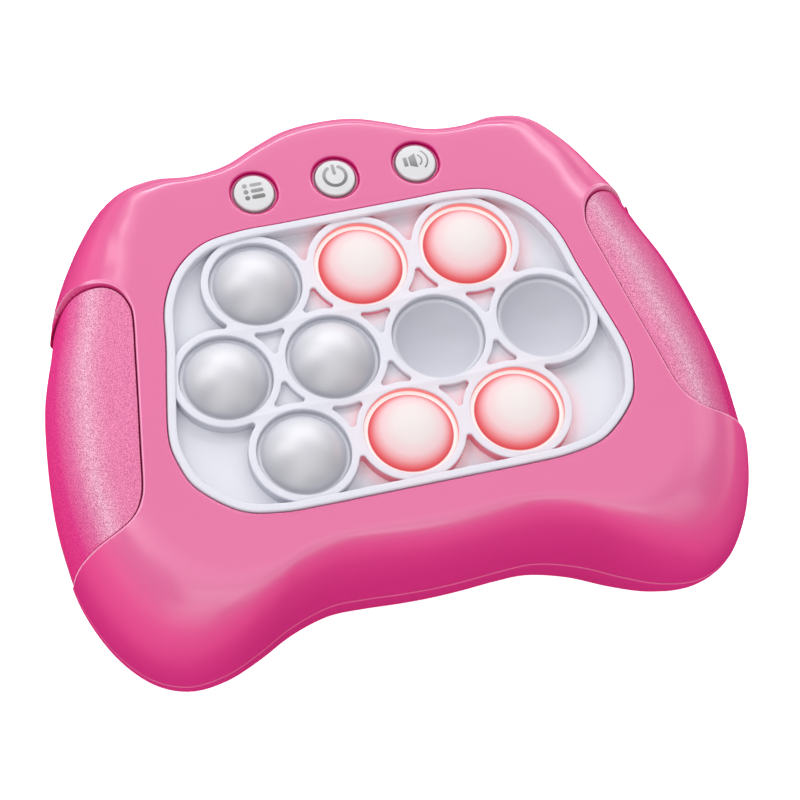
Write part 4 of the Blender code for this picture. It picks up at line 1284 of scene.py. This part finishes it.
# %% Put the finishes on
finish_of_its_own = {f"{label}_symbol": grey_print for label in button_places}
finish_of_its_own.update({f"silicone_bubble_{n}": cup_silicone for n in popped_bubbles})
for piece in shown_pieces():
    slot = piece.get("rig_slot")
    if slot:
        if not piece.data.materials:
            piece.data.materials.append(None)
        piece.data.materials[0] = finish_of_its_own.get(piece.name, finishes[slot])
for material in (rim_pink_with_painted_light, collar_pink_with_painted_shade):
    front_shell.data.materials.append(material)
for row in frame["record"]["subparts"]:
    for slot in frame["nodes"][row["node"]].material_slots:
        slot.material = finishes[row["material_slot"]]

# %% [markdown]
# ## Stage, light and camera
# The game lies on a white sweep under an even sky and ten soft boxes: two behind, whose reflections
# give the panel its sheen and the bubbles their highlights, weaker ones at the sides and in front,
# and one overhead.

# %% Floor
floor_size = 6.0
floor_mesh = bmesh.new()
bmesh.ops.create_grid(floor_mesh, x_segments=1, y_segments=1, size=floor_size / 2)
floor = make_object("white_floor", floor_mesh)
material, tree, shader = start_finish("white_sweep", Roughness=0.9, Base_Color="#F4F4F4",
                                      Emission_Color="#FFFFFF")
seen = add(tree, "LightPath", out="Is Camera Ray")
fill(shader, {"Emission Strength": add(tree, "MapRange", (seen, 0.0, 1.0, 0.2, 0.75))})
floor.data.materials.append(material)

# %% Lamps and sky
lamp_distance = 1.4
aim_height = 0.03


def point_at(made, place, aim, roll=0.0):
    """Put a lamp or camera in its place and turn it to what it looks at."""
    made.location = place
    made.rotation_mode = "QUATERNION"
    made.rotation_quaternion = (aim - place).to_track_quat("-Z", "Y") @ Quaternion((0, 0, 1), roll)


def soft_box(name, azimuth, elevation, power, width, height):
    """Soft box on a wide dome round the game; azimuth counts from the right towards the back."""
    lamp = bpy.data.lights.new(name, "AREA")
    lamp.shape = "RECTANGLE"
    lamp.size, lamp.size_y = width, height
    lamp.energy = power
    turn, rise = math.radians(azimuth), math.radians(elevation)
    towards = Vector((math.cos(turn) * math.cos(rise), math.sin(turn) * math.cos(rise), math.sin(rise)))
    point_at(linked(name, lamp), lamp_distance * towards, Vector((0, 0, aim_height)))


for name, azimuth, elevation, power, width, height in (
        ("back_box", 79, 25, 7.0, 1.5, 0.5), ("back_high_box", 75, 46, 4.2, 1.3, 0.15),
        ("right_back_box", 28, 38, 2.5, 0.9, 0.8), ("left_back_high_box", 124, 56, 1.6, 0.6, 0.5),
        ("left_box", 140, 44, 4.6, 0.6, 0.9), ("left_low_box", 156, 24, 1.3, 0.5, 0.5),
        ("front_left_box", 238, 26, 4.6, 1.2, 1.0), ("front_left_high_box", 255, 58, 3.2, 1.0, 0.8),
        ("front_right_box", 310, 42, 3.6, 1.2, 1.0), ("overhead_box", 0, 90, 2.8, 1.0, 1.0)):
    soft_box(name, azimuth, elevation, power, width, height)
world = bpy.context.scene.world or bpy.data.worlds.new("sky")
bpy.context.scene.world = world
world.use_nodes = True
seen = add(world.node_tree, "LightPath", out="Is Camera Ray")
fill(world.node_tree.nodes["Background"],
     {"Color": "#FFFFFF", "Strength": add(world.node_tree, "MapRange", (seen, 0.0, 1.0, 0.18, 1.0))})

# %% Camera
camera_place = Vector((-0.23904, -0.51307, 1.07495))
camera_aim = Vector((-0.00073, -0.01700, 0.04000))
camera_roll = math.radians(11.70)
camera = linked("photo_camera", bpy.data.cameras.new("photo_camera"))
camera.data.sensor_width = 36.0
camera.data.lens = 202.98
camera.data.clip_start = 0.05
camera.data.clip_end = 20.0
point_at(camera, camera_place, camera_aim, camera_roll)
bpy.context.scene.camera = camera
bpy.context.scene.view_settings.view_transform = "Standard"
